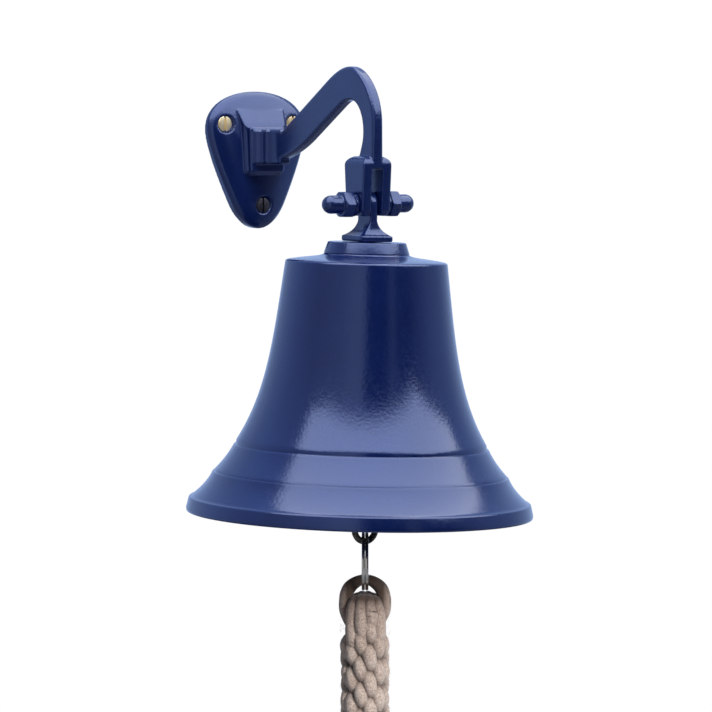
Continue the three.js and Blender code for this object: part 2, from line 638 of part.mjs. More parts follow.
add(bell, 'pivot_bolt', pivotBolt(), NAVY, 0, -REACH, PIVOT_Z);
for (const [name, side] of [['right', 1], ['left', -1]]) {
  const turn = side > 0 ? 0 : Math.PI;
  const washer = add(bell, `spring_washer_${name}`, springWasher(), NAVY,
    side * (FORK_WIDTH / 2 + GAP), -REACH, PIVOT_Z);
  washer.rotation.z = turn;
  const nut = add(bell, `domed_nut_${name}`, domedNut(), NAVY, side * NUT_START, -REACH, PIVOT_Z);
  nut.rotation.z = turn;
}

const swinging = groupAt(bell, 0, -REACH, PIVOT_Z);
swinging.rotation.set(BELL_LEAN, BELL_TILT, 0);
add(swinging, 'bell_shell', bellShell(), NAVY);
add(swinging, 'hanger', hanger(), NAVY);
add(swinging, 'crown_collar', crownCollar(), NAVY);
add(swinging, 'inside_washer', insideWasher(), STEEL);
add(swinging, 'eye_nut', eyeNut(), IRON);

// The clapper and what hangs from it hang straight down from the eye of the leaning bell.
const link = groupAt(swinging, 0, 0, EYE_PIVOT);
link.quaternion.copy(swinging.quaternion).invert();
add(link, 'clapper_link', clapperLink(), IRON);

const clapper = groupAt(link, 0, 0, LINK_PIVOT);
add(clapper, 'clapper_rod', clapperRod(), IRON);
add(clapper, 'clapper_ball', clapperBall(), IRON);

const keyRing = groupAt(clapper, 0, 0, RING_EYE_CENTRE - RING_EYE);
const facing = groupAt(keyRing, 0, 0, 0);
facing.rotation.z = LANYARD_TURN;
add(facing, 'split_ring', splitRing(), STEEL);

const lanyard = groupAt(facing, 0, 0, SPLIT_PIVOT);
add(lanyard, 'lanyard_eye', lanyardEye(), COTTON);
add(lanyard, 'lanyard_braid', lanyardBraid(), COTTON);
add(lanyard, 'lanyard_knot', lanyardKnot(), COTTON);
add(lanyard, 'lanyard_tassel', lanyardTassel(), COTTON);

export default bell;
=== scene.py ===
import json
import math
import random

import bmesh
import bpy
import numpy as np
from mathutils import Matrix, Vector, noise

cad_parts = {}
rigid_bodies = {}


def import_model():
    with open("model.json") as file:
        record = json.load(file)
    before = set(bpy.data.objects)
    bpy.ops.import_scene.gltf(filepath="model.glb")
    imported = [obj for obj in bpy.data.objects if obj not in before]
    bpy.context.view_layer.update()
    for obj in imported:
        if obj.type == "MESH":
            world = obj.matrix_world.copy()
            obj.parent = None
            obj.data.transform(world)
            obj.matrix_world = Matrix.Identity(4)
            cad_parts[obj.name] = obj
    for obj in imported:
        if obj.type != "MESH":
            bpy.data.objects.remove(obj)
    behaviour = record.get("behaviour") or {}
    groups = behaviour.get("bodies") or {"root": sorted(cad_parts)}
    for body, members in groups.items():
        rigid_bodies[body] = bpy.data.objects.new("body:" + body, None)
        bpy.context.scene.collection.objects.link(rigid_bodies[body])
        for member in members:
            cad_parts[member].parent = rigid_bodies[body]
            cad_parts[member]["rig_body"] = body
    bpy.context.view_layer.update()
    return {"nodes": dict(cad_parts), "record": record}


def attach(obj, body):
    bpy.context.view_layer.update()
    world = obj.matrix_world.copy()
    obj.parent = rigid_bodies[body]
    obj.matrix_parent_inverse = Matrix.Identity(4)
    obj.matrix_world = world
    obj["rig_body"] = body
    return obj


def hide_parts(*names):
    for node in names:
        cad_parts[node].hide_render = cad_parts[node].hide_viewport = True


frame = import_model()

# ---------- the record's own places, in metres ----------
JOINTS = {j["name"]: j for j in frame["record"]["behaviour"]["joints"]}
PIVOT = Vector(JOINTS["bell_swing"]["pos_m"])
EYE = Vector(JOINTS["clapper_swing"]["pos_m"])
ROD_TOP = Vector(JOINTS["clapper_sway"]["pos_m"])
RING_TOP = Vector(JOINTS["ring_swing"]["pos_m"])
RING_LOW = Vector(JOINTS["lanyard_sway"]["pos_m"])
MM = 0.001
PLUMB = EYE - PIVOT
LEAN = math.atan2(PLUMB.y, -PLUMB.z)
TILT = math.asin(-PLUMB.x / PLUMB.length)
BELL = Matrix.Translation(PIVOT) @ Matrix.Rotation(LEAN, 4, "X") @ Matrix.Rotation(TILT, 4, "Y")
scene = bpy.context.scene
scene.view_settings.view_transform = "Standard"
scene.view_settings.look = "None"


# ---------- camera ----------
CAMERA_PLACE = (-1.00597, -1.71604, 0.02879)
CAMERA_DIP = math.radians(3.93)
CAMERA_TURN = math.radians(-32)
FACING = Matrix.Rotation(CAMERA_TURN, 4, "Z")


def make_camera():
    data = bpy.data.cameras.new("camera")
    data.sensor_width = 36
    data.lens = 183.0
    data.clip_start, data.clip_end = 0.05, 50
    camera = bpy.data.objects.new("camera", data)
    scene.collection.objects.link(camera)
    camera.location = CAMERA_PLACE
    camera.rotation_euler = (math.pi / 2 - CAMERA_DIP, 0, CAMERA_TURN)
    scene.camera = camera


make_camera()


# ---------- mesh helpers ----------
def new_object(name, verts, faces):
    mesh = bpy.data.meshes.new(name)
    mesh.from_pydata([tuple(v) for v in verts], [], [tuple(f) for f in faces])
    mesh.update()
    obj = bpy.data.objects.new(name, mesh)
    scene.collection.objects.link(obj)
    return obj


def ring_faces(rows, sides, closed=False):
    """Quads between neighbouring rings of points; closed joins the last ring to the first."""
    faces = []
    for i in range(rows if closed else rows - 1):
        j = (i + 1) % rows
        for k in range(sides):
            n = (k + 1) % sides
            faces.append((i * sides + k, i * sides + n, j * sides + n, j * sides + k))
    return faces


def end_caps(rows, sides):
    return [tuple(range(sides))[::-1], tuple((rows - 1) * sides + k for k in range(sides))]


def tidy_normals(obj, merge=True):
    bm = bmesh.new()
    bm.from_mesh(obj.data)
    if merge:
        bmesh.ops.remove_doubles(bm, verts=bm.verts, dist=1e-6)
    bmesh.ops.recalc_face_normals(bm, faces=bm.faces)
    bm.to_mesh(obj.data)
    bm.free()


def apply_modifiers(obj):
    depsgraph = bpy.context.evaluated_depsgraph_get()
    mesh = bpy.data.meshes.new_from_object(obj.evaluated_get(depsgraph))
    obj.modifiers.clear()
    obj.data = mesh


def smooth(obj, angle=None):
    obj.data.polygons.foreach_set("use_smooth", [True] * len(obj.data.polygons))
    if angle is not None:
        obj.data.set_sharp_from_angle(angle=math.radians(angle))
    obj.data.update()


def finish_piece(obj, body, material, replaces=(), angle=None):
    smooth(obj, angle)
    obj.data.materials.clear()
    obj.data.materials.append(material)
    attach(obj, body)
    if replaces:
        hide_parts(*replaces)
    return obj


def lathe_mesh(profile, segments):
    """Verts and faces of a closed [radius, height] profile turned about Z, in millimetres."""
    verts, faces, rows = [], [], []
    for r, z in profile:
        if r < 1e-6:
            rows.append([len(verts)] * segments)
            verts.append((0, 0, z * MM))
            continue
        rows.append(list(range(len(verts), len(verts) + segments)))
        for k in range(segments):
            a = 2 * math.pi * k / segments
            verts.append((r * math.cos(a) * MM, r * math.sin(a) * MM, z * MM))
    pairs = list(zip(rows, rows[1:]))
    if profile[0][0] > 1e-6 and profile[-1][0] > 1e-6:
        pairs.append((rows[-1], rows[0]))
    for low, high in pairs:
        for k in range(segments):
            n = (k + 1) % segments
            face = list(dict.fromkeys([low[k], low[n], high[n], high[k]]))
            if len(face) > 2:
                faces.append(face)
    return verts, faces


def turned(name, profile, segments=96, place=None):
    obj = new_object(name, *lathe_mesh(profile, segments))
    if place is not None:
        obj.data.transform(place)
    tidy_normals(obj)
    return obj


def spaced(points, step):
    """A polyline resampled so that no two points are much more than step apart."""
    out = [points[0]]
    for (a, b) in zip(points, points[1:]):
        count = max(1, math.ceil(math.dist(a, b) / step))
        out += [tuple(p + (q - p) * i / count for p, q in zip(a, b)) for i in range(1, count + 1)]
    return out


def rounded(points, radius, steps=4):
    """A polyline whose inner corners are rounded, each with its own quadratic arc."""
    out = [points[0]]
    for a, b, c in zip(points, points[1:], points[2:]):
        cut = min(radius, 0.45 * math.dist(a, b), 0.45 * math.dist(b, c))
        if cut < 1e-6:
            out.append(b)
            continue
        p = [b[i] + (a[i] - b[i]) * cut / math.dist(a, b) for i in (0, 1)]
        q = [b[i] + (c[i] - b[i]) * cut / math.dist(b, c) for i in (0, 1)]
        for s in range(steps + 1):
            t = s / steps
            out.append(tuple((1 - t) ** 2 * p[i] + 2 * t * (1 - t) * b[i] + t * t * q[i] for i in (0, 1)))
    return out + [points[-1]]


def bezier(p0, p1, p2, p3, count=16):
    out = []
    for s in range(count + 1):
        t = s / count
        w = ((1 - t) ** 3, 3 * t * (1 - t) ** 2, 3 * t * t * (1 - t), t ** 3)
        out.append(tuple(sum(k * p[i] for k, p in zip(w, (p0, p1, p2, p3))) for i in (0, 1)))
    return out


def prism(name, outline, half, chamfer, place):
    """An outline [a, b] given a thickness along its third axis, with chamfered long edges."""
    count = len(outline)
    centre = [sum(p[i] for p in outline) / count for i in (0, 1)]
    area = sum(a[0] * b[1] - b[0] * a[1] for a, b in zip(outline, outline[1:] + outline[:1]))
    turn = 1 if area > 0 else -1
    inset = []
    for i, p in enumerate(outline):
        a, b = outline[i - 1], outline[(i + 1) % count]
        d1 = Vector((p[0] - a[0], p[1] - a[1])).normalized()
        d2 = Vector((b[0] - p[0], b[1] - p[1])).normalized()
        n = Vector((-(d1.y + d2.y), d1.x + d2.x)) * turn
        n.normalize()
        inset.append((p[0] + n.x * chamfer, p[1] + n.y * chamfer))
    rings = [(inset, -half), (outline, -half + chamfer), (outline, half - chamfer), (inset, half)]
    verts = [(a * MM, b * MM, c * MM) for ring, c in rings for a, b in ring]
    rows = len(rings)
    obj = new_object(name, verts, end_caps(rows, count) + ring_faces(rows, count))
    obj.data.transform(place)
    tidy_normals(obj)
    return obj


def block(name, low, high):
    obj = new_object(name, [(x * MM, y * MM, z * MM) for x in (low[0], high[0])
                            for y in (low[1], high[1]) for z in (low[2], high[2])],
                     [(0, 1, 3, 2), (4, 6, 7, 5), (0, 4, 5, 1), (2, 3, 7, 6), (0, 2, 6, 4), (1, 5, 7, 3)])
    tidy_normals(obj)
    return obj


def hull(name, half):
    """The convex hull of points (x, y, z) in millimetres and of their mirror images across X."""
    bm = bmesh.new()
    for x, y, z in half:
        bm.verts.new((x * MM, y * MM, z * MM))
        bm.verts.new((-x * MM, y * MM, z * MM))
    bmesh.ops.convex_hull(bm, input=bm.verts)
    obj = new_object(name, [], [])
    bm.to_mesh(obj.data)
    bm.free()
    tidy_normals(obj)
    return obj


def drop(obj):
    mesh = obj.data
    bpy.data.objects.remove(obj)
    bpy.data.meshes.remove(mesh)


def boolean(obj, other, operation):
    modifier = obj.modifiers.new("cut", "BOOLEAN")
    modifier.operation = operation
    modifier.solver = "EXACT"
    modifier.object = other
    apply_modifiers(obj)
    drop(other)
    return obj


def cast(obj, voxel, passes, keep):
    """Joins overlapping shells into one skin, and softens its edges as thick paint does."""
    remesh = obj.modifiers.new("skin", "REMESH")
    remesh.mode = "VOXEL"
    remesh.voxel_size = voxel * MM
    soften = obj.modifiers.new("soften", "SMOOTH")
    soften.factor = 0.5
    soften.iterations = passes
    thin = obj.modifiers.new("thin", "DECIMATE")
    thin.ratio = keep
    apply_modifiers(obj)


def joined(name, parts):
    bm = bmesh.new()
    for part in parts:
        bm.from_mesh(part.data)
    obj = new_object(name, [], [])
    bm.to_mesh(obj.data)
    bm.free()
    for part in parts:
        drop(part)
    return obj


def frames_along(points, closed):
    """Normal and side at each point, carried along without twisting."""
    count = len(points)
    tangents = []
    for i in range(count):
        a = points[(i - 1) % count] if closed or i else points[i]
        b = points[(i + 1) % count] if closed or i < count - 1 else points[i]
        tangents.append((b - a).normalized())
    seed = Vector((0, 0, 1)) if abs(tangents[0].z) < 0.9 else Vector((1, 0, 0))
    normal = tangents[0].cross(seed).normalized()
    out = []
    for t in tangents:
        normal = (normal - t * normal.dot(t)).normalized()
        out.append((normal, t.cross(normal)))
    return out


def tube(points, radius, sides, closed=False, shape=None):
    """Verts and faces of a tube along points; radius and shape may vary along and around it."""
    verts = []
    count = len(points)
    for i, (p, (n, s)) in enumerate(zip(points, frames_along(points, closed))):
        for k in range(sides):
            a = 2 * math.pi * k / sides
            r = radius(i / (count - 1)) if callable(radius) else radius
            if shape:
                r *= shape(i / (count - 1), a)
            verts.append(p + n * (r * math.cos(a)) + s * (r * math.sin(a)))
    return verts, ring_faces(count, sides, closed) + ([] if closed else end_caps(count, sides))


def gather(name, shells):
    verts, faces = [], []
    for v, f in shells:
        start = len(verts)
        verts += v
        faces += [tuple(start + i for i in face) for face in f]
    return new_object(name, verts, faces)


# ---------- materials ----------
def put(tree, socket, value):
    """Links a socket to another node's output, or sets it to a number or a colour."""
    if isinstance(value, bpy.types.NodeSocket):
        tree.links.new(value, socket)
    else:
        socket.default_value = value


def add_node(tree, kind, *first, operation=None, **named):
    """A shader node with its first sockets and its named ones (_ for a space) filled in."""
    node = tree.nodes.new("ShaderNode" + kind)
    if operation:
        node.operation = operation
    for socket, value in zip(node.inputs, first):
        put(tree, socket, value)
    for name, value in named.items():
        put(tree, node.inputs[name.replace("_", " ")], value)
    return node


class Graph:
    """A material's node tree, with short calls for the nodes that these finishes share."""

    def __init__(self, name):
        self.material = bpy.data.materials.new(name)
        self.material.use_nodes = True
        self.tree = self.material.node_tree
        self.shader = self.tree.nodes["Principled BSDF"]
        self.place = add_node(self.tree, "TexCoord").outputs["Object"]

    def set(self, **values):
        for name, value in values.items():
            put(self.tree, self.shader.inputs[name.replace("_", " ")], value)

    def noise(self, scale, detail=2.0, roughness=0.5, distortion=0.0, place=None):
        return add_node(self.tree, "TexNoise", Scale=scale, Detail=detail, Roughness=roughness,
                        Distortion=distortion, Vector=place or self.place).outputs["Fac"]

    def stretched(self, x, y, z, shift=(0, 0, 0)):
        return add_node(self.tree, "Mapping", Scale=(x, y, z), Location=shift,
                        Vector=self.place).outputs["Vector"]

    def cells(self, scale):
        return add_node(self.tree, "TexVoronoi", Scale=scale, Vector=self.place).outputs["Distance"]

    def remap(self, value, low, high, to_low, to_high):
        return add_node(self.tree, "MapRange", Value=value, From_Min=low, From_Max=high,
                        To_Min=to_low, To_Max=to_high).outputs["Result"]

    def blend(self, factor, a, b, mode="MIX"):
        node = self.tree.nodes.new("ShaderNodeMix")
        node.data_type = "RGBA"
        node.blend_type = mode
        put(self.tree, node.inputs["Factor"], factor)
        colours = [s for s in node.inputs if s.type == "RGBA"]
        for socket, value in zip(colours, (a, b)):
            put(self.tree, socket, (*value, 1) if isinstance(value, tuple) else value)
        return [s for s in node.outputs if s.type == "RGBA"][0]

    def bump(self, height, distance, strength=1.0, under=None):
        node = add_node(self.tree, "Bump", Strength=strength, Distance=distance * MM, Height=height)
        if under is not None:
            put(self.tree, node.inputs["Normal"], under)
        return node.outputs["Normal"]

    def out(self, colour, roughness, normal):
        self.set(Base_Color=colour, Roughness=roughness, Normal=normal)
        return self.material


def navy_paint(name, deep, light, gloss=0.2, peel=0.05):
    """Blue enamel over a casting: orange peel, fine grain, and colour that drifts a little."""
    g = Graph(name)
    g.set(Metallic=0.0, Coat_Weight=0.0, Specular_IOR_Level=0.92, Specular_Tint=(0.48, 0.60, 1.0, 1.0))
    cloud = g.remap(g.noise(38, 4, 0.6), 0.3, 0.7, 0, 1)
    colour = g.blend(cloud, deep, light)
    # Painted glints: small bright specks in the colour stand in for the sparkle of the coat.
    painted_sparkle = g.remap(g.noise(2600, 1), 0.70, 0.78, 0, 1)
    colour = g.blend(g.remap(painted_sparkle, 0, 1, 0, 0.35), colour, tuple(c * 2.6 + 0.02 for c in light))
    rough = g.remap(g.noise(520, 3), 0.3, 0.7, gloss - 0.03, gloss + 0.05)
    peeled = g.bump(g.noise(620, 1.5, 0.45), peel, 1.0)
    grained = g.bump(g.noise(2400, 2), 0.012, 1.0, peeled)
    return g.out(colour, rough, grained)


def metal(name, colour, dark, rough, grain=0.02, scale=900, streaks=None, metallic=1.0):
    g = Graph(name)
    g.set(Metallic=metallic)
    patches = g.remap(g.noise(160, 4, 0.65), 0.35, 0.7, 0, 1)
    tint = g.blend(patches, colour, dark)
    place = g.stretched(*streaks) if streaks else None
    fine = g.noise(scale, 3, 0.6, place=place)
    roughness = g.remap(fine, 0.3, 0.7, rough - 0.07, rough + 0.12)
    return g.out(tint, roughness, g.bump(fine, grain, 1.0))


def forged_iron():
    """Blackened iron with scale, small pits and rubbed high spots."""
    g = Graph("forged_iron")
    g.set(Metallic=0.9)
    blotch = g.remap(g.noise(420, 5, 0.7), 0.42, 0.62, 0, 1)
    tint = g.blend(blotch, (0.018, 0.016, 0.016), (0.17, 0.155, 0.14))
    roughness = g.remap(g.noise(700, 3), 0.3, 0.7, 0.38, 0.7)
    pits = g.bump(g.cells(650), 0.12, 0.7)
    return g.out(tint, roughness, g.bump(g.noise(1500, 3), 0.05, 1.0, pits))


def cotton():
    """Soft cotton cord: fibres, painted shade that darkens the hollows between the strands, and painted
    shade that darkens the cord towards the ring.
    """
    g = Graph("cotton_rope")
    g.set(Metallic=0.0, Sheen_Weight=0.35, Sheen_Roughness=0.5, Specular_IOR_Level=0.2)
    patch = g.remap(g.noise(90, 4, 0.6), 0.3, 0.7, 0, 1)
    colour = g.blend(patch, (0.66, 0.53, 0.455), (0.80, 0.69, 0.61))
    fibre = g.noise(1150, 5, 0.75, 0.6)
    flecks = g.remap(fibre, 0.38, 0.60, 0.25, 1.0)
    shaded = g.blend(flecks, (0.30, 0.225, 0.19), (1, 1, 1))
    colour = g.blend(1.0, colour, shaded, "MULTIPLY")
    across = g.stretched(1, 1, 0, (-RING_LOW.x, -RING_LOW.y, 0))
    radius = add_node(g.tree, "VectorMath", across, operation="LENGTH").outputs["Value"]
    # Painted shade: the cord is coloured darker towards its axis, in the hollows between the strands.
    painted_hollow_shade = g.remap(radius, 10.0 * MM, 12.7 * MM, 1.0, 0.0)
    colour = g.blend(painted_hollow_shade, colour, g.blend(painted_hollow_shade, (0.34, 0.26, 0.22), (0.17, 0.12, 0.095)))
    # Painted shade: the cord is coloured darker over its top 60 mm, towards the split ring.
    height = add_node(g.tree, "SeparateXYZ", g.place).outputs["Z"]
    painted_ring_shade = g.remap(height, RING_LOW.z - 60 * MM, RING_LOW.z - 10 * MM, 0.0, 1.0)
    colour = g.blend(painted_ring_shade, colour, g.blend(painted_ring_shade, (1, 1, 1), (0.66, 0.62, 0.60)), "MULTIPLY")
    roughness = g.remap(fibre, 0.3, 0.7, 0.8, 1.0)
    soft = g.bump(g.noise(600, 3, 0.6, 0.3), 0.4, 1.0)
    return g.out(colour, roughness, g.bump(fibre, 0.4, 1.0, soft))


def bell_inside_paint():
    """The thin, matt coat over rough metal inside the bell."""
    g = Graph("bell_inside_paint")
    g.set(Metallic=0.0)
    patch = g.remap(g.noise(60, 5, 0.65), 0.3, 0.7, 0, 1)
    colour = g.blend(patch, (0.006, 0.016, 0.085), (0.012, 0.03, 0.14))
    rings = g.noise(500, 2, place=g.stretched(0.25, 0.25, 3.0))
    rough = g.remap(rings, 0.3, 0.7, 0.42, 0.6)
    cast_skin = g.bump(g.noise(420, 4, 0.6), 0.14, 1.0)
    return g.out(colour, rough, g.bump(rings, 0.04, 1.0, cast_skin))


BELL_PAINT = navy_paint("bell_paint", (0.0046, 0.0175, 0.125), (0.0066, 0.0235, 0.155), 0.17, 0.06)
BRACKET_PAINT = navy_paint("bracket_paint", (0.0052, 0.018, 0.115), (0.0085, 0.026, 0.15), 0.2, 0.06)
INSIDE_PAINT = bell_inside_paint()
BRASS = metal("screw_brass", (1.0, 0.88, 0.6), (0.84, 0.68, 0.38), 0.34, 0.03, 700, (1, 1, 0.2), 0.45)
STEEL = metal("ring_steel", (0.62, 0.60, 0.57), (0.33, 0.31, 0.29), 0.2, 0.015, 900)
DARK_STEEL = metal("dark_steel", (0.12, 0.12, 0.15), (0.05, 0.05, 0.07), 0.3, 0.02, 800)
ZINC = metal("zinc_steel", (0.55, 0.55, 0.54), (0.3, 0.3, 0.29), 0.32, 0.02, 800)
IRON = forged_iron()
COTTON = cotton()


# ---------- rope lanyard ----------
# In its own frame z = 0 is the middle of the split ring's lowest wire, and -Y looks to the front.
LANYARD = Matrix.Translation(RING_LOW) @ FACING
BRAID_TOP, BRAID_END = -7.2, -185.2
KNOT_TOP, KNOT_END = -185.5, -210.5
TASSEL_TOP, TASSEL_END = -210.8, -254.8
COLUMNS, PERIOD = 12, 14.0
rng = random.Random(7)


def on_rope(angle, radius, z):
    """A point on the rope; angle is measured from the front towards the right."""
    return Vector((radius * math.sin(angle), -radius * math.cos(angle), z))


def curve_points(controls, count):
    """A Catmull-Rom curve through the controls, sampled evenly in its parameter."""
    ctl = [controls[0]] + list(controls) + [controls[-1]]
    out = []
    for i in range(count):
        u = i / (count - 1) * (len(controls) - 1)
        k = min(int(u), len(controls) - 2)
        t = u - k
        a, b, c, d = ctl[k:k + 4]
        out.append(0.5 * (2 * b + (c - a) * t + (2 * a - 5 * b + 4 * c - d) * t * t
                          + (3 * b - a - 3 * c + d) * t ** 3))
    return out


def yarn_shape(phase, yarns=7, depth=0.035, twist=2.2):
    return lambda t, a: 1 + depth * math.cos(yarns * a + phase + twist * 2 * math.pi * t)


def stitch(angle, z, length, thick, deep=5.6, lean=0.13):
    """One strand where it shows between two crossings: it swells out and dives in at both ends."""
    wander = rng.uniform(-0.03, 0.03)
    size = rng.uniform(0.95, 1.06)
    points = []
    for s in range(13):
        t = s / 12 * 2 - 1
        radius = 9.5 * (1 + rng.uniform(-0.006, 0.006)) - deep * abs(t) ** 2.2
        points.append(on_rope(angle + wander + lean * t, radius, z - length / 2 * t * (1 - 0.08 * t * t)))
    fat = lambda t: thick * size * (1 - 0.32 * abs(2 * t - 1) ** 2.4)
    return tube(points, fat, 14, shape=yarn_shape(rng.uniform(0, 6)))


def braid_shells():
    core = [Vector((0, 0, BRAID_TOP - 4 + (BRAID_END - BRAID_TOP + 4) * i / 60)) for i in range(61)]
    shells = [tube(core, 8.3, 24)]
    for column in range(COLUMNS):
        angle = math.radians(15 + 30 * column)
        shift = (column * 7 / 12) % 1
        first = -21.5 - PERIOD * shift
        start = abs(math.sin(angle)) < 0.9
        if start:
            lift = 0.9 * math.cos(2 * angle)
            route = [on_rope(angle * 1.0, 1.5, BRAID_TOP - 0.2), on_rope(angle, 6.6, BRAID_TOP + 0.6 + lift),
                     on_rope(angle + 0.02, 9.4, BRAID_TOP - 5.0), on_rope(angle + 0.05, 9.8, first + 8.5),
                     on_rope(angle + 0.1, 8.2, first + 3.0), on_rope(angle + 0.12, 5.0, first - 0.5)]
            shells.append(tube(curve_points(route, 24), lambda t: 3.65 - 0.5 * abs(2 * t - 1) ** 2, 14,
                               shape=yarn_shape(column)))
        z = first - (0 if start else 6)
        while z > BRAID_END + 5.5:
            shells.append(stitch(angle, z, 16.6, 3.7))
            z -= PERIOD
    return shells


def eye_shells():
    """The strand that arches over the ring, and its legs down into the braid."""
    controls = [Vector((-7.2, 0, -18)), Vector((-9.6, -0.6, -12.5)), Vector((-10.1, -0.5, -6.6))]
    for step in range(1, 8):
        angle = math.pi * (1 - step / 8)
        controls.append(Vector((10.1 * math.cos(angle), 0, -6.4 + 10.8 * math.sin(angle))))
    controls += [Vector((10.1, -0.5, -6.6)), Vector((9.6, -0.8, -12.0)), Vector((7.4, -0.4, -17))]
    pinch = lambda t: 3.65 - 0.95 * math.exp(-((t - 0.5) / 0.15) ** 2)
    return [tube(curve_points(controls, 60), pinch, 20, shape=yarn_shape(0.4, 7, 0.035, 5))]


def knot_shells():
    """A three-lead, five-bight turk's head, laid double over a core."""
    middle = (KNOT_TOP + KNOT_END) / 2
    leads, bights, rise, girth, count = 3, 5, 7.4, 12.4, 240
    plies = lambda t, a: 1 + 0.03 * math.cos(6 * a + 90 * t)
    shells = []
    for offset in (-2.3, 2.3):
        line = []
        for i in range(count):
            t = 2 * math.pi * i / count
            turn, wave = leads * t, bights * t
            slope = math.atan2(math.cos(wave) * bights * rise, leads * girth)
            z = rise * math.sin(wave) + offset * math.cos(slope)
            angle = turn - offset * math.sin(slope) / girth
            radius = 11.9 + 2.0 * math.sin(2 * wave) - 1.2 * (z / 10) ** 2
            line.append(on_rope(angle, radius, middle + z))
        shells.append(tube(line, 2.35, 12, closed=True, shape=plies))
    core = [(8.2 + 3.0 * math.cos(math.pi * (i / 12 - 0.5)), middle - 12.5 * math.cos(math.pi * i / 12))
            for i in range(13)]
    verts, faces = lathe_mesh([(0, KNOT_END)] + core + [(0, KNOT_TOP)], 48)
    shells.append(([Vector(v) / MM for v in verts], faces))
    return shells


def tassel_shells():
    """Cut yarns that hang in a loose skirt, in rings of top radius, bottom radius and number."""
    rings = ((8.0, 14.2, 46), (6.0, 11.2, 34), (3.6, 7.6, 20), (1.2, 3.4, 8))
    shells = []
    for ring, (top, low, count) in enumerate(rings):
        for k in range(count):
            angle = 2 * math.pi * (k + 0.5 * ring) / count + rng.uniform(-0.05, 0.05)
            end = TASSEL_END + rng.uniform(0.1, 3.2)
            sway, phase = rng.uniform(-0.06, 0.06), rng.uniform(0, 6)
            points = []
            for s in range(15):
                t = s / 14
                radius = top + (low - top) * (1 - (1 - t) ** 2.2) + 0.5 * math.sin(9 * t + phase) * t
                points.append(on_rope(angle + sway * t + 0.03 * math.sin(7 * t + phase), radius,
                                      TASSEL_TOP + 1.5 + (end - TASSEL_TOP - 1.5) * t))
            girth = rng.uniform(0.86, 1.02)
            shells.append(tube(points, lambda t, g=girth: g * (1 + 0.12 * max(0, t - 0.9) * 10), 7,
                               shape=lambda t, a: 1 + 0.09 * math.cos(2 * a + 60 * t)))
    return shells


def fuzz_shells(count):
    """Short loose fibres that stand a little off the braid and the eye."""
    shells = []
    for _ in range(count):
        angle = rng.uniform(-math.pi, math.pi)
        z = rng.uniform(BRAID_END + 3, BRAID_TOP - 8)
        heading = rng.uniform(0, 2 * math.pi)
        length = rng.uniform(1.5, 4.0)
        rise = rng.uniform(0.4, 1.3)
        points = []
        for s in range(5):
            t = s / 4
            radius = 12.1 + rise * math.sin(math.pi * (0.15 + 0.85 * t)) + 0.4 * t
            points.append(on_rope(angle + length * t * math.cos(heading) / 12, radius,
                                  z + length * t * math.sin(heading)))
        shells.append(tube(points, lambda t: 0.055 * (1 - 0.6 * t), 3))
    return shells


def rope_piece(name, shells, node=None):
    shells = [([v * MM for v in verts], faces) for verts, faces in shells]
    piece = gather(name, shells)
    piece.data.transform(LANYARD)
    tidy_normals(piece, merge=False)
    return finish_piece(piece, "lanyard", COTTON, [node] if node else [])


def make_lanyard():
    eye = rope_piece("rope_eye", eye_shells(), "lanyard_eye")
    knot = rope_piece("rope_knot", knot_shells(), "lanyard_knot")
    tassel = rope_piece("rope_tassel", tassel_shells(), "lanyard_tassel")
    fuzz = rope_piece("rope_fibres", fuzz_shells(900))
    braid = rope_piece("rope_braid", braid_shells(), "lanyard_braid")


make_lanyard()


# ---------- bell ----------
SHOULDER_DROP = 30.3


def under(below):
    return -(SHOULDER_DROP + below)


def waist(below):
    return 42.4 + 0.125 * below + 11.9 * (below / 95.5) ** 4


def swell(r0, s0, r1, s1, bulge, steps):
    rows = [i / steps for i in range(steps + 1)]
    return [(r0 + (r1 - r0) * t + 4 * bulge * t * (1 - t), under(s0 + (s1 - s0) * t)) for t in rows]


def bell_outside():
    crown = bezier((22.3, -26.0), (23.2, -27.9), (33.0, -27.9), (41.3, under(-0.65)), 20)
    side = [(waist(s), under(s)) for s in np.linspace(1.0, 94.2, 60)]
    first = swell(66.9, 96.9, 76.4, 110.1, -0.7, 14)
    second = swell(77.7, 111.4, 88.1, 124.0, -1.2, 16)
    edge = [(41.3, under(-0.65)), (42.35, under(-0.05)), (waist(1.0), under(1.0))]
    step_one = [(waist(94.2), under(94.2)), (65.75, under(95.9)), (65.7, under(96.3)), (66.4, under(96.4)),
                (66.9, under(96.9))]
    step_two = [(76.4, under(110.1)), (76.6, under(110.75)), (77.3, under(110.85)), (77.7, under(111.4))]
    band = [(88.1, under(124.0)), (89.6, under(124.5)), (91.0, under(130.4)),
            (90.7, under(132)), (87.8, under(132))]
    return ([(4.4, -26.4)] + crown[:-1] + rounded(edge, 1.1) + side[1:-1] + rounded(step_one, 0.25)
            + first[1:-1] + rounded(step_two, 0.2) + second[1:-1] + rounded(band, 0.8))


def bell_inside():
    lip = bezier((87.8, under(132)), (85.8, under(132)), (85.0, under(131)), (83, under(128)), 6)[1:]
    flare = bezier((83, under(128)), (76.0, under(118.5)), (67.0, under(106.0)), (61.3, under(97)), 14)[1:]
    side = [(waist(s) - 4.2, under(s)) for s in np.linspace(90, 12, 30)]
    dome = bezier((waist(12) - 4.2, under(12)), (39.2, under(5.0)), (34.0, under(1.4)), (26, -31.9), 12)[1:]
    return lip + flare + side + dome + [(14, -31.4), (4.4, -31.4)]


def make_bell():
    outside, inside = bell_outside(), bell_inside()
    segments = 192
    bell = new_object("bell", *lathe_mesh(outside + inside, segments))
    count = len(outside)
    flags = [1 if p.index // segments >= count - 1 else 0 for p in bell.data.polygons]
    bell.data.transform(BELL)
    tidy_normals(bell, merge=False)
    finish_piece(bell, "bell", BELL_PAINT, ["bell_shell"], 40)
    bell.data.materials.append(INSIDE_PAINT)
    bell.data.polygons.foreach_set("material_index", flags)


make_bell()


# ---------- stacked sections ----------
CORNER_STEPS = 4


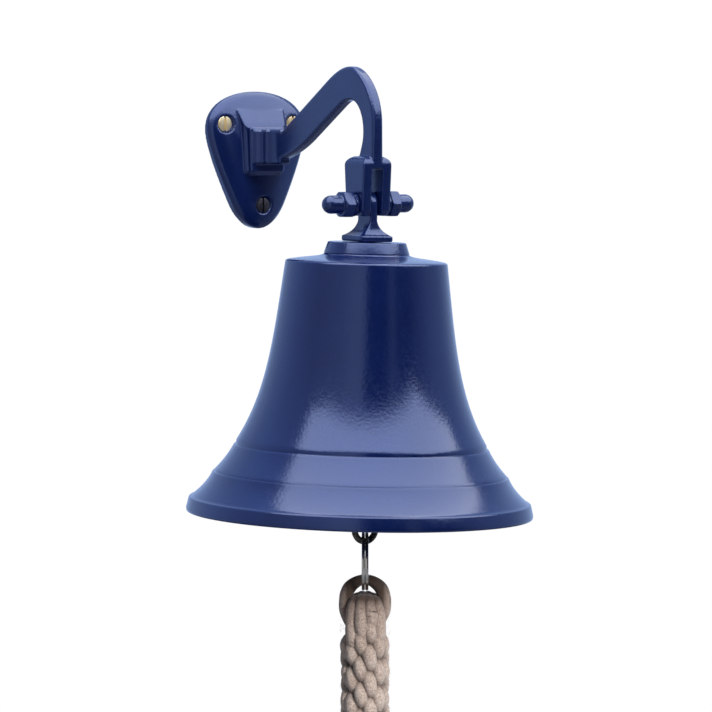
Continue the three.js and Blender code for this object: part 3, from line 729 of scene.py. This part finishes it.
def section(half_x, half_y, corner):
    """A rectangle with round corners, as points round it."""
    points = []
    for qx, qy, start in ((1, 1, 0), (-1, 1, 90), (-1, -1, 180), (1, -1, 270)):
        for s in range(CORNER_STEPS + 1):
            a = math.radians(start + 90 * s / CORNER_STEPS)
            points.append((qx * (half_x - corner) + corner * math.cos(a),
                           qy * (half_y - corner) + corner * math.sin(a)))
    return points


def stacked(name, rows, place):
    """A solid from rows of (z, half_x, half_y, corner), closed at both ends."""
    verts = []
    for z, half_x, half_y, corner in rows:
        corner = min(corner, half_x * 0.95, half_y * 0.95)
        verts += [(x * MM, y * MM, z * MM) for x, y in section(half_x, half_y, corner)]
    sides = 4 * (CORNER_STEPS + 1)
    obj = new_object(name, verts, ring_faces(len(rows), sides) + end_caps(len(rows), sides))
    obj.data.transform(place)
    tidy_normals(obj)
    return obj


def turned_across(name, profile, segments, place):
    """A profile of [radius, distance along X]."""
    return turned(name, profile, segments, place @ Matrix.Rotation(math.radians(90), 4, "Y"))


def rod_part(name, radius, low, high, place, segments=48):
    return turned(name, [(0, low), (radius, low), (radius, high), (0, high)], segments, place)


# ---------- hanger, collar and what is inside the crown ----------
FOOT_BASE = -19.5
FOOT_TOP = FOOT_BASE + 3.2


def flare(half, count=14):
    return bezier((10, FOOT_TOP - 0.4), (6.6, FOOT_TOP + 1.2), (half + 0.5, -12.2), (half, -8.6), count)


def make_hanger():
    rows = [(FOOT_BASE, 9.5, 9.5, 1.2), (FOOT_BASE + 0.5, 10, 10, 1.2)]
    for (half_x, z), (half_y, _) in zip(flare(2.25), flare(6.6)):
        rows.append((z, half_x, half_y, 1.2 if half_x > 4 else 1.0))
    rows.append((0, 2.25, 6.6, 1.0))
    for step in range(1, 9):
        a = math.radians(80 * step / 8)
        rows.append((6.6 * math.sin(a), 2.25, 6.6 * math.cos(a), 1.0))
    hanger = stacked("hanger_body", rows, BELL)
    bore = turned_across("bore", [(0, -20), (4.15, -20), (4.15, 20), (0, 20)], 48, BELL)
    boolean(hanger, bore, "DIFFERENCE")
    stud = rod_part("stud", 4, -40, FOOT_BASE + 1, BELL)
    hanger = joined("hanger_cast", [hanger, stud])
    cast(hanger, 0.4, 4, 0.5)
    hanger.name = "bell_hanger"
    finish_piece(hanger, "bell", BRACKET_PAINT, ["hanger"])
    profile = [(4.4, -26.1), (22.1, -26.1), (22.3, -25.5), (20.5, -20.1), (20.0, -19.8), (4.4, -19.8)]
    collar = turned("crown_ring", rounded(profile, 0.3), 128, BELL)
    finish_piece(collar, "bell", BRACKET_PAINT, ["crown_collar"], 40)


make_hanger()


# ---------- wall plate ----------
def plate_outline(count):
    corners = bezier((0, 37.4), (17, 37.4), (30.8, 30), (30.8, 17), 40)
    corners += bezier((30.8, 17), (30.8, 7.5), (21.8, -12.5), (16.2, -24), 40)[1:]
    corners += bezier((16.2, -24), (11.7, -33), (5.5, -37.4), (0, -37.4), 30)[1:]
    run = [0]
    for a, b in zip(corners, corners[1:]):
        run.append(run[-1] + math.dist(a, b))
    even = np.linspace(0, run[-1], count + 1)
    right = list(zip(np.interp(even, run, [p[0] for p in corners]),
                     np.interp(even, run, [p[1] for p in corners])))
    return right + [(-x, z) for x, z in right[-2:0:-1]]


def plate_skin():
    """The dome over the outline, thicker towards the bottom tip."""
    outline = plate_outline(80)
    count = len(outline)
    half, middle, top_rim, more_rim, dome = 37.4, 4, 3.6, 3.8, 5.2
    levels = [1, 0.992, 0.975, 0.955, 0.93, 0.89, 0.84, 0.77, 0.7, 0.6, 0.5, 0.37, 0.25, 0.12]
    verts = [(x * MM, 0, z * MM) for x, z in outline]
    for level in levels:
        for x, z in outline:
            z = middle + (z - middle) * level
            rim = top_rim + (half - z) / (2 * half) * more_rim
            edge = min(1, math.sqrt((1 - level) / 0.07))
            depth = rim - 1.6 + 1.6 * edge + dome * (1 - level ** 3)
            verts.append((x * level * MM, -depth * MM, z * MM))
    peak = top_rim + (half - middle) / (2 * half) * more_rim + dome
    verts.append((0, -peak * MM, middle * MM))
    last = len(levels) * count
    faces = [tuple(range(count))] + ring_faces(len(levels) + 1, count)
    faces += [(last + k, last + (k + 1) % count, len(verts) - 1) for k in range(count)]
    skin = new_object("plate_skin", verts, faces)
    tidy_normals(skin)
    return skin


OUTWARD = Matrix.Rotation(math.radians(90), 4, "X")


def outward(name, profile, x, z, segments=48):
    """A profile of [radius, distance from the wall], turned about an axis square to the wall."""
    return turned(name, profile, segments, Matrix.Translation((x * MM, 0, z * MM)) @ OUTWARD)


def pad(name, narrow, wide, low, high, near, far, bevel):
    corners = [(narrow, low), (wide, high), (-wide, high), (-narrow, low)]
    seam = ((corners[0][0] + corners[-1][0]) / 2, low)
    closed = [seam] + corners + [seam]
    outline = rounded(closed, 2.4, 5)[:-1]
    return prism(name, outline, (far - near) / 2, bevel,
                 Matrix.Translation((0, -(near + far) / 2 * MM, 0)) @ OUTWARD)


TOP_SCREW = (21.5, 19.8, 6.3)
BOTTOM_SCREW = (1.0, -24.6, 8.8)
SCREWS = {"left": (-TOP_SCREW[0], *TOP_SCREW[1:]), "right": TOP_SCREW, "bottom": BOTTOM_SCREW}


def make_plate():
    plate = boolean(plate_skin(), pad("pad", 11.8, 13.2, -7.6, 19.6, 3, 13, 1.6), "UNION")
    for x, z, face in SCREWS.values():
        hole = [(0, -2), (2.5, -2), (2.5, face - 2.2), (4.7, face), (5.0, face + 0.5), (5.0, 25), (0, 25)]
        boolean(plate, outward("hole", hole, x, z), "DIFFERENCE")
    sunk = [(0, -2), (6.7, -2), (6.7, 0.6), (3.4, 3.9), (3.4, 30), (0, 30)]
    boolean(plate, outward("hole", sunk, 0, 9.4), "DIFFERENCE")
    ramp = hull("ramp", [(x, y, z) for x, y, z in (
        (12.4, -6, 16), (12.4, -12.4, 16), (12.8, -12.6, 18.6), (12.8, -11.9, 20.2), (13.4, -9.8, 23.4),
        (14.6, -7.4, 27.6), (14.6, -4, 27.6))])
    plate = joined("plate_cast", [plate, ramp])
    cast(plate, 0.45, 6, 0.4)
    plate.name = "cast_wall_plate"
    finish_piece(plate, "bracket", BRACKET_PAINT, ["wall_plate"])


make_plate()


# ---------- arm ----------
SIDEWAYS = Matrix(((0, 0, -1, 0), (-1, 0, 0, 0), (0, 1, 0, 0), (0, 0, 0, 1)))


def neck_outline():
    top = [(26, 12), (32, 14.6), (76, 40)]
    top += bezier((76, 40), (84, 44.7), (93, 50.2), (102.5, 50.2), 14)[1:]
    top += bezier((102.5, 50.2), (113, 50.2), (128.2, 38), (128.2, 20), 20)[1:]
    low = [(128, -2), (112, -2)] + bezier((112, -2), (112.4, 5), (117, 9), (117, 16), 10)[1:]
    low += bezier((117, 16), (117, 26), (110.5, 32.6), (103.8, 32.6), 16)[1:]
    low += bezier((103.8, 32.6), (100, 32.6), (96.5, 30.8), (92, 28.2), 8)[1:]
    low += [(62, 11.2)] + bezier((62, 11.2), (53, 6.3), (42, 1.9), (26, -0.9), 12)[1:]
    return top + low


def root_outline():
    half = []
    for a, b, c in (((9.6, 13.4), (10, 17.4), (8.2, 18.4)), ((8.2, 18.4), (5.6, 19.6), (6.2, 23.6)),
                    ((6.2, 23.6), (3.2, 25), (3.1, 34))):
        for s in range(9):
            t = s / 8
            half.append(tuple((1 - t) ** 2 * a[i] + 2 * t * (1 - t) * b[i] + t * t * c[i] for i in (0, 1)))
    half = list(dict.fromkeys(half))
    return half + [(-x, y) for x, y in half[::-1]]


def shoulder(half, neck, low):
    """(z, half width) rows of the fork, from its bottom to its rounded top."""
    rows = [(-27.6, low - 1.2), (-24.6, low), (-1.2, half)]
    for s in range(1, 9):
        t = s / 8
        rows.append((-1.2 * (1 - t) ** 2 + 2 * t * (1 - t) * 1.8 + 3.4 * t * t,
                     half * (1 - t) ** 2 + 2 * t * (1 - t) * half + neck * t * t))
    return rows


def make_arm():
    neck = prism("neck", neck_outline(), 3.2, 1.2, SIDEWAYS)
    place = Matrix.Translation((0, 0, 7.45 * MM)) @ Matrix.Rotation(math.pi, 4, "X")
    column = prism("column", root_outline(), 9.35, 1.0, place)
    flange = pad("flange", 10.6, 11.2, -6.8, 18.4, 13.3, 16.0, 0.8)
    rows = [(z, x, y, 1.0) for (z, x), (_, y) in zip(shoulder(8.65, 4.4, 8.65), shoulder(10, 7, 8.3))]
    fork = stacked("fork", rows, Matrix.Translation((0, PIVOT.y, 0)))
    arm = boolean(boolean(boolean(neck, column, "UNION"), flange, "UNION"), fork, "UNION")
    boolean(arm, block("slot", (-3.3, -140, -60), (3.3, -98, -3)), "DIFFERENCE")
    bore = turned_across("bore", [(0, -20), (4.2, -20), (4.2, 20), (0, 20)], 48, Matrix.Translation(PIVOT))
    boolean(arm, bore, "DIFFERENCE")
    tapped = outward("tapped", [(0, 0), (3.3, 0), (3.3, 26), (0, 27.5)], 0, 9.4)
    boolean(arm, tapped, "DIFFERENCE")
    cast(arm, 0.42, 5, 0.4)
    arm.name = "swan_neck_arm"
    finish_piece(arm, "bracket", BRACKET_PAINT, ["bracket_arm"])


make_arm()


# ---------- screws, nuts and washers ----------
def threaded(name, rows, pitch, place, around=48):
    """A turned surface whose rows are (z, radius, thread height); the thread is a helix on it."""
    verts = []
    for z, radius, high in rows:
        for k in range(around):
            a = 2 * math.pi * k / around
            u = (z / pitch - k / around) % 1
            ridge = max(0, 1 - abs(u - 0.5) / 0.22)
            r = radius + high * ridge
            verts.append((r * math.cos(a) * MM, r * math.sin(a) * MM, z * MM))
    obj = new_object(name, verts, ring_faces(len(rows), around) + end_caps(len(rows), around))
    obj.data.transform(place)
    tidy_normals(obj)
    return obj


def make_wall_screw(where, x, z, face):
    rows = [(-19, 0.05, 0)]
    for s in range(1, 71):
        deep = -19 + s * 0.2
        grow = min(1, (deep + 19) / 5)
        rows.append((deep, 1.45 * grow ** 0.7, 0.68 * grow * min(1, (-5 - deep) / 0.5)))
    rows += [(-4.8, 1.7, 0), (-2.4, 1.75, 0), (-2.2, 1.9, 0)]
    rows += [(-2.2 + 1.9 * s / 5, 2.0 + 2.2 * s / 5, 0) for s in range(6)]
    rows += [(-0.1, 4.2, 0), (0.05, 4.05, 0), (0.2, 3.2, 0), (0.3, 2.0, 0), (0.35, 0.2, 0)]
    place = Matrix.Translation((x * MM, -face * MM, z * MM)) @ OUTWARD
    screw = threaded("screw_" + where, rows, 2.8, place)
    slot = block("slot", (-0.6, -6, -0.85), (0.6, 6, 2))
    slot.data.transform(place)
    boolean(screw, slot, "DIFFERENCE")
    bevel = screw.modifiers.new("edges", "BEVEL")
    bevel.width = 0.1 * MM
    bevel.limit_method = "ANGLE"
    bevel.angle_limit = math.radians(50)
    apply_modifiers(screw)
    look = DARK_STEEL if where == "bottom" else BRASS
    finish_piece(screw, "bracket", look, ["wall_screw_" + where], 35)


for where, (x, z, face) in SCREWS.items():
    make_wall_screw(where, x, z, face)


def hexagon(angle, flats):
    """Distance from the middle to the side of a hexagon, along an angle."""
    return flats / 2 / math.cos((angle + math.pi / 6) % (math.pi / 3) - math.pi / 6)


def make_nut(where, side):
    around = 96
    rows = [(6.3, 0.2, None), (6.3, 4.3, None), (0, 4.3, None), (0, 6.2, None)]
    rows += [(x, trim, 13) for x, trim in ((0, 6.6), (0.35, 7.25), (0.7, 7.6), (4.4, 7.6), (5.0, 7.25),
                                           (5.6, 6.7), (6.0, 6.1))]
    rows += [(6.05, 5.5, None), (6.1, 5.0, None), (6.4, 4.85, None)]
    tip = 27.5 - 11.15
    rows += [(6.4 + (tip - 4.8 - 6.4) * s / 6, 4.8, None) for s in range(1, 7)]
    for s in range(1, 10):
        a = math.radians(88 * s / 9)
        rows.append((tip - 4.8 * (1 - math.sin(a)), 4.8 * math.cos(a), None))
    verts = []
    for x, radius, flats in rows:
        for k in range(around):
            a = 2 * math.pi * k / around
            r = min(radius, hexagon(a, flats)) if flats else radius
            verts.append((x * MM, r * math.cos(a) * MM, r * math.sin(a) * MM))
    faces = ring_faces(len(rows), around) + end_caps(len(rows), around)
    nut = new_object("nut_" + where, verts, faces)
    turn = Matrix.Rotation(0 if side > 0 else math.pi, 4, "Z") @ Matrix.Rotation(math.radians(30), 4, "X")
    nut.data.transform(Matrix.Translation(PIVOT + Vector((side * 11.15 * MM, 0, 0))) @ turn)
    tidy_normals(nut)
    cast(nut, 0.28, 3, 0.5)
    nut.name = "acorn_nut_" + where
    finish_piece(nut, "bracket", BRACKET_PAINT, ["domed_nut_" + where])


def make_spring_washer(where, side):
    verts, steps = [], 90
    outline = [(4.35, 0.15), (4.5, 0), (6.25, 0), (6.4, 0.15),
               (6.4, 1.55), (6.25, 1.7), (4.5, 1.7), (4.35, 1.55)]
    for i in range(steps + 1):
        a = math.radians(60 + 5 + 350 * i / steps)
        lift = 0.18 * i / steps
        verts += [((x + lift) * MM, r * math.cos(a) * MM, r * math.sin(a) * MM) for r, x in outline]
    sides = len(outline)
    faces = ring_faces(steps + 1, sides) + end_caps(steps + 1, sides)
    washer = new_object("lock_washer_" + where, verts, faces)
    turn = Matrix.Rotation(0 if side > 0 else math.pi, 4, "Z")
    washer.data.transform(Matrix.Translation(PIVOT + Vector((side * 8.95 * MM, 0, 0))) @ turn)
    tidy_normals(washer)
    finish_piece(washer, "bracket", BRACKET_PAINT, ["spring_washer_" + where], 35)


for where, side in (("right", 1), ("left", -1)):
    make_nut(where, side)
    make_spring_washer(where, side)


# ---------- clapper ----------
def wire_ring(name, middle, wire, z, place, sides=16, around=64):
    """A ring of round wire that faces the wall."""
    points = []
    for k in range(around):
        a = 2 * math.pi * k / around
        points.append(Vector((middle * math.cos(a), 0, z + middle * math.sin(a))))
    verts, faces = tube(points, wire, sides, closed=True)
    obj = new_object(name, [v * MM for v in verts], faces)
    obj.data.transform(place)
    tidy_normals(obj)
    return obj


def forge(obj, depth, scale, seed):
    """Uneven hammered or cast skin."""
    for v in obj.data.vertices:
        v.co += v.normal * (noise.noise(v.co * scale + Vector((seed, 0, 0))) * depth * MM)
    obj.data.update()


def make_eye_nut():
    top = -33.6
    collar = turned("collar", [(0, top - 7), (6.4, top - 7), (8, top - 5), (8, top), (0, top)], 64, BELL)
    neck = rod_part("neck", 3.4, top - 9.5, top - 6, BELL)
    eye = wire_ring("eye", 7.5, 2.25, -48.8, BELL)
    nut = joined("eye_nut_body", [collar, neck, eye])
    cast(nut, 0.35, 4, 0.6)
    forge(nut, 0.12, 300, 1)
    nut.name = "forged_eye_nut"
    finish_piece(nut, "bell", IRON, ["eye_nut"])


def make_link():
    straight = 20 / 2 + 1.9 / 2 - 6.4 + 1.9 / 2
    points = []
    for k in range(72):
        a = 2 * math.pi * (k + 0.5) / 72
        shift = straight if math.sin(a) > 0 else -straight
        points.append(Vector((0, 6.4 * math.cos(a), 2.6 - 10 + shift + 6.4 * math.sin(a))))
    dense = []
    for a, b in zip(points, points[1:] + points[:1]):
        pieces = max(1, round((b - a).length / 0.8))
        dense += [a + (b - a) * i / pieces for i in range(pieces)]
    verts, faces = tube(dense, 1.9, 16, closed=True)
    link = new_object("clapper_ring_link", [v * MM for v in verts], faces)
    link.data.transform(Matrix.Translation(EYE))
    tidy_normals(link)
    forge(link, 0.1, 300, 2)
    finish_piece(link, "link", IRON, ["clapper_link"])


def make_clapper():
    place = Matrix.Translation(ROD_TOP)
    shaft = [(0, -88.4), (2.0, -88.4), (2.4, -86.5), (2.6, -83.9),
             (3.0, -81.9), (3.0, -12), (2.4, -8.4), (0, -7.6)]
    parts = [wire_ring("top", 6.3, 2.1, -1.95, place), turned("shaft", spaced(shaft, 2), 32, place),
             wire_ring("low", 6.4, 1.72, -94.9, place)]
    rod = joined("rod_body", parts)
    cast(rod, 0.32, 4, 0.6)
    forge(rod, 0.09, 260, 3)
    rod.name = "clapper_shaft"
    finish_piece(rod, "clapper", IRON, ["clapper_rod"])
    first = math.asin(3.3 / 13.5)
    arc = [first + (math.pi - 2 * first) * s / 40 for s in range(41)]
    profile = [(13.4 * math.sin(a), -68.9 - 13.4 * math.cos(a)) for a in arc]
    ball = turned("clapper_weight", profile, 96, place)
    forge(ball, 0.3, 130, 4)
    finish_piece(ball, "clapper", IRON, ["clapper_ball"])


make_eye_nut()
make_link()
make_clapper()


# ---------- split ring ----------
def make_split_ring():
    """Two turns of flat wire, with the crossover where one winding steps over to the other."""
    outline = []
    for r, x in ((-1.0, -0.84), (1.0, -0.84), (1.0, 0.84), (-1.0, 0.84)):
        for s in range(4):
            quarter = (1 if r > 0 else -1, 1 if x > 0 else -1)
            start = {(-1, -1): 180, (1, -1): 270, (1, 1): 0, (-1, 1): 90}[quarter]
            a = math.radians(start + 30 * s)
            outline.append(((abs(r) - 0.45) * (1 if r > 0 else -1) + 0.45 * math.cos(a),
                            (abs(x) - 0.45) * (1 if x > 0 else -1) + 0.45 * math.sin(a)))
    total, steps, jog = 4 * math.pi - 0.62, 320, 0.5
    verts = []
    for i in range(steps + 1):
        s = total * i / steps
        t = min(1, max(0, (s - (2 * math.pi - jog)) / jog))
        x0 = -0.93 + 1.86 * t * t * (3 - 2 * t)
        a = s + math.radians(40)
        for r, x in outline:
            radius = 14.2 + r
            verts.append(((x0 + x) * MM, radius * math.cos(a) * MM, (-10.5 + radius * math.sin(a)) * MM))
    sides = len(outline)
    faces = ring_faces(steps + 1, sides) + end_caps(steps + 1, sides)
    ring = new_object("coiled_split_ring", verts, faces)
    ring.data.transform(Matrix.Translation(RING_TOP) @ FACING)
    tidy_normals(ring)
    finish_piece(ring, "key_ring", STEEL, ["split_ring"], 35)


make_split_ring()


# ---------- CAD nodes that show as they are ----------
for node, material in (("pivot_bolt", BRACKET_PAINT), ("arm_fixing_screw", ZINC), ("inside_washer", ZINC)):
    for slot in frame["nodes"][node].material_slots:
        slot.material = material


# ---------- light and surroundings ----------
IN_GLOSS, ON_MATT = 1.35, 0.4


def make_world():
    """Studio surroundings by compass direction: bright in the gloss, dim on matt surfaces."""
    world = bpy.data.worlds.new("studio")
    scene.world = world
    world.use_nodes = True
    tree = world.node_tree
    way = add_node(tree, "TexCoord").outputs["Generated"]
    turn = add_node(tree, "Mapping", Rotation=(0, 0, -CAMERA_TURN), Vector=way)
    split = add_node(tree, "SeparateXYZ", turn.outputs["Vector"])
    back = add_node(tree, "Math", split.outputs["Y"], -1, operation="MULTIPLY")
    angle = add_node(tree, "Math", split.outputs["X"], back.outputs["Value"], operation="ARCTAN2")
    share = add_node(tree, "MapRange", Value=angle.outputs["Value"], From_Min=-math.pi, From_Max=math.pi)
    ramp = add_node(tree, "ValToRGB", Fac=share.outputs["Result"])
    stops = [(-180, .62), (-150, .42), (-115, .48), (-85, .40), (-64, .33), (-46, .38), (-30, .42),
             (-13, .6), (-1, .6), (4, .01), (30, .01), (34, .25), (38, .25), (43, .03), (60, .03),
             (71, .15), (92, .36), (119, .38), (180, .62)]
    elements = ramp.color_ramp.elements
    while len(elements) < len(stops):
        elements.new(0.5)
    for element, (degrees, value) in zip(elements, stops):
        cool = min(1, max(0, (abs(degrees) - 60) / 50))
        element.position = (degrees + 180) / 360
        element.color = (value * (1 - 0.3 * cool), value * (1 - 0.04 * cool), value * (1 + 0.5 * cool), 1)
    strength = add_node(tree, "MapRange", Value=add_node(tree, "LightPath").outputs["Is Diffuse Ray"],
                        To_Min=IN_GLOSS, To_Max=ON_MATT)
    background = tree.nodes["Background"]
    put(tree, background.inputs["Color"], ramp.outputs["Color"])
    put(tree, background.inputs["Strength"], strength.outputs["Result"])


SOFTBOX_STRENGTH = 4.0
SOFTBOX_FADE = (1.05, 1.5)


def make_softbox():
    """A wide panel overhead, cut to the shape that shows in the bell's gloss, with a dim front."""
    height = 1.175
    corners = ((-0.1, -0.68), (2.4, -0.68), (2.4, 1.5), (-0.8, 1.5), (-1.45, 0.8))
    centre = Vector((0, PIVOT.y, -0.135 + height))
    panel = new_object("ceiling_softbox", [FACING @ Vector((x * height, -y * height, 0)) + centre
                                           for x, y in corners], [tuple(range(len(corners)))])
    white = plain("softbox_white", (0, 0, 0), SOFTBOX_STRENGTH)
    tree = white.node_tree
    front = FACING @ Vector((0, -1, 0))
    place = add_node(tree, "TexCoord").outputs["Object"]
    reach = add_node(tree, "VectorMath", place, front, operation="DOT_PRODUCT")
    start, end = (front.dot(centre) + y * height for y in SOFTBOX_FADE)
    fade = add_node(tree, "MapRange", Value=reach.outputs["Value"], From_Min=start, From_Max=end,
                    To_Min=SOFTBOX_STRENGTH, To_Max=0.0)
    put(tree, tree.nodes["Principled BSDF"].inputs["Emission Strength"], fade.outputs["Result"])
    panel.data.materials.append(white)
    panel.visible_camera = False
    panel.visible_diffuse = False


def make_fill(name, place, aim, size, power, bodies=()):
    """A lamp that doesn't show in the gloss; with bodies, it lights only what rides on them."""
    data = bpy.data.lights.new(name, "AREA")
    data.size = size
    data.energy = power
    lamp = bpy.data.objects.new(name, data)
    scene.collection.objects.link(lamp)
    lamp.location = place
    lamp.rotation_euler = (Vector(aim) - Vector(place)).to_track_quat("-Z", "Y").to_euler()
    lamp.visible_glossy = False
    if bodies:
        lit = bpy.data.collections.new(name + "_receivers")
        for piece in bpy.data.objects:
            if piece.get("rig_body") in bodies:
                lit.objects.link(piece)
        lamp.light_linking.receiver_collection = lit


def plain(name, colour, emission):
    material = bpy.data.materials.new(name)
    material.use_nodes = True
    shader = material.node_tree.nodes["Principled BSDF"]
    shader.inputs["Base Color"].default_value = (*colour, 1)
    shader.inputs["Roughness"].default_value = 0.9
    shader.inputs["Emission Color"].default_value = (1, 1, 1, 1)
    shader.inputs["Emission Strength"].default_value = emission
    return material


def make_stage():
    """A white surround that only the camera sees, and a pale floor with its own hidden bounce."""
    wide, bands = 9.0 / MM, 16
    arc = [math.pi * i / bands for i in range(bands + 1)]
    sky = new_object("backdrop", *lathe_mesh([(wide * math.sin(a), -wide * math.cos(a)) for a in arc], 32))
    sky.data.materials.append(plain("backdrop_white", (0, 0, 0), 1.0))
    sky.data.materials[0].cycles.emission_sampling = "NONE"
    for kind in ("diffuse", "glossy", "transmission", "volume_scatter", "shadow"):
        setattr(sky, "visible_" + kind, False)
    pale = (0.75, 0.75, 0.74)
    floor = turned("floor", [(0, -625), (1200, -625), (1200, -620), (0, -620)])
    floor.data.materials.append(plain("floor_pale", pale, 0.3))
    floor.visible_diffuse = floor.visible_glossy = False
    bounce = turned("floor_bounce", [(0, -624), (1200, -624), (1200, -619), (0, -619)])
    bounce.data.materials.append(plain("floor_bounce_pale", pale, 0))
    bounce.visible_camera = bounce.visible_shadow = False


make_world()
make_softbox()
BELL_MIDDLE, ROPE_MIDDLE = (0, -0.118, -0.135), (0, -0.117, -0.34)
HANGING = ("lanyard", "key_ring")
make_fill("top_fill", (-0.1, -0.42, 1.04), BELL_MIDDLE, 1.0, 19)
make_fill("rope_fill", (0.1, -1.6, 0.5), ROPE_MIDDLE, 0.5, 34, HANGING)
make_fill("rope_back_fill", (0.7, 1.2, 0.4), ROPE_MIDDLE, 0.5, 20, HANGING)
make_stage()
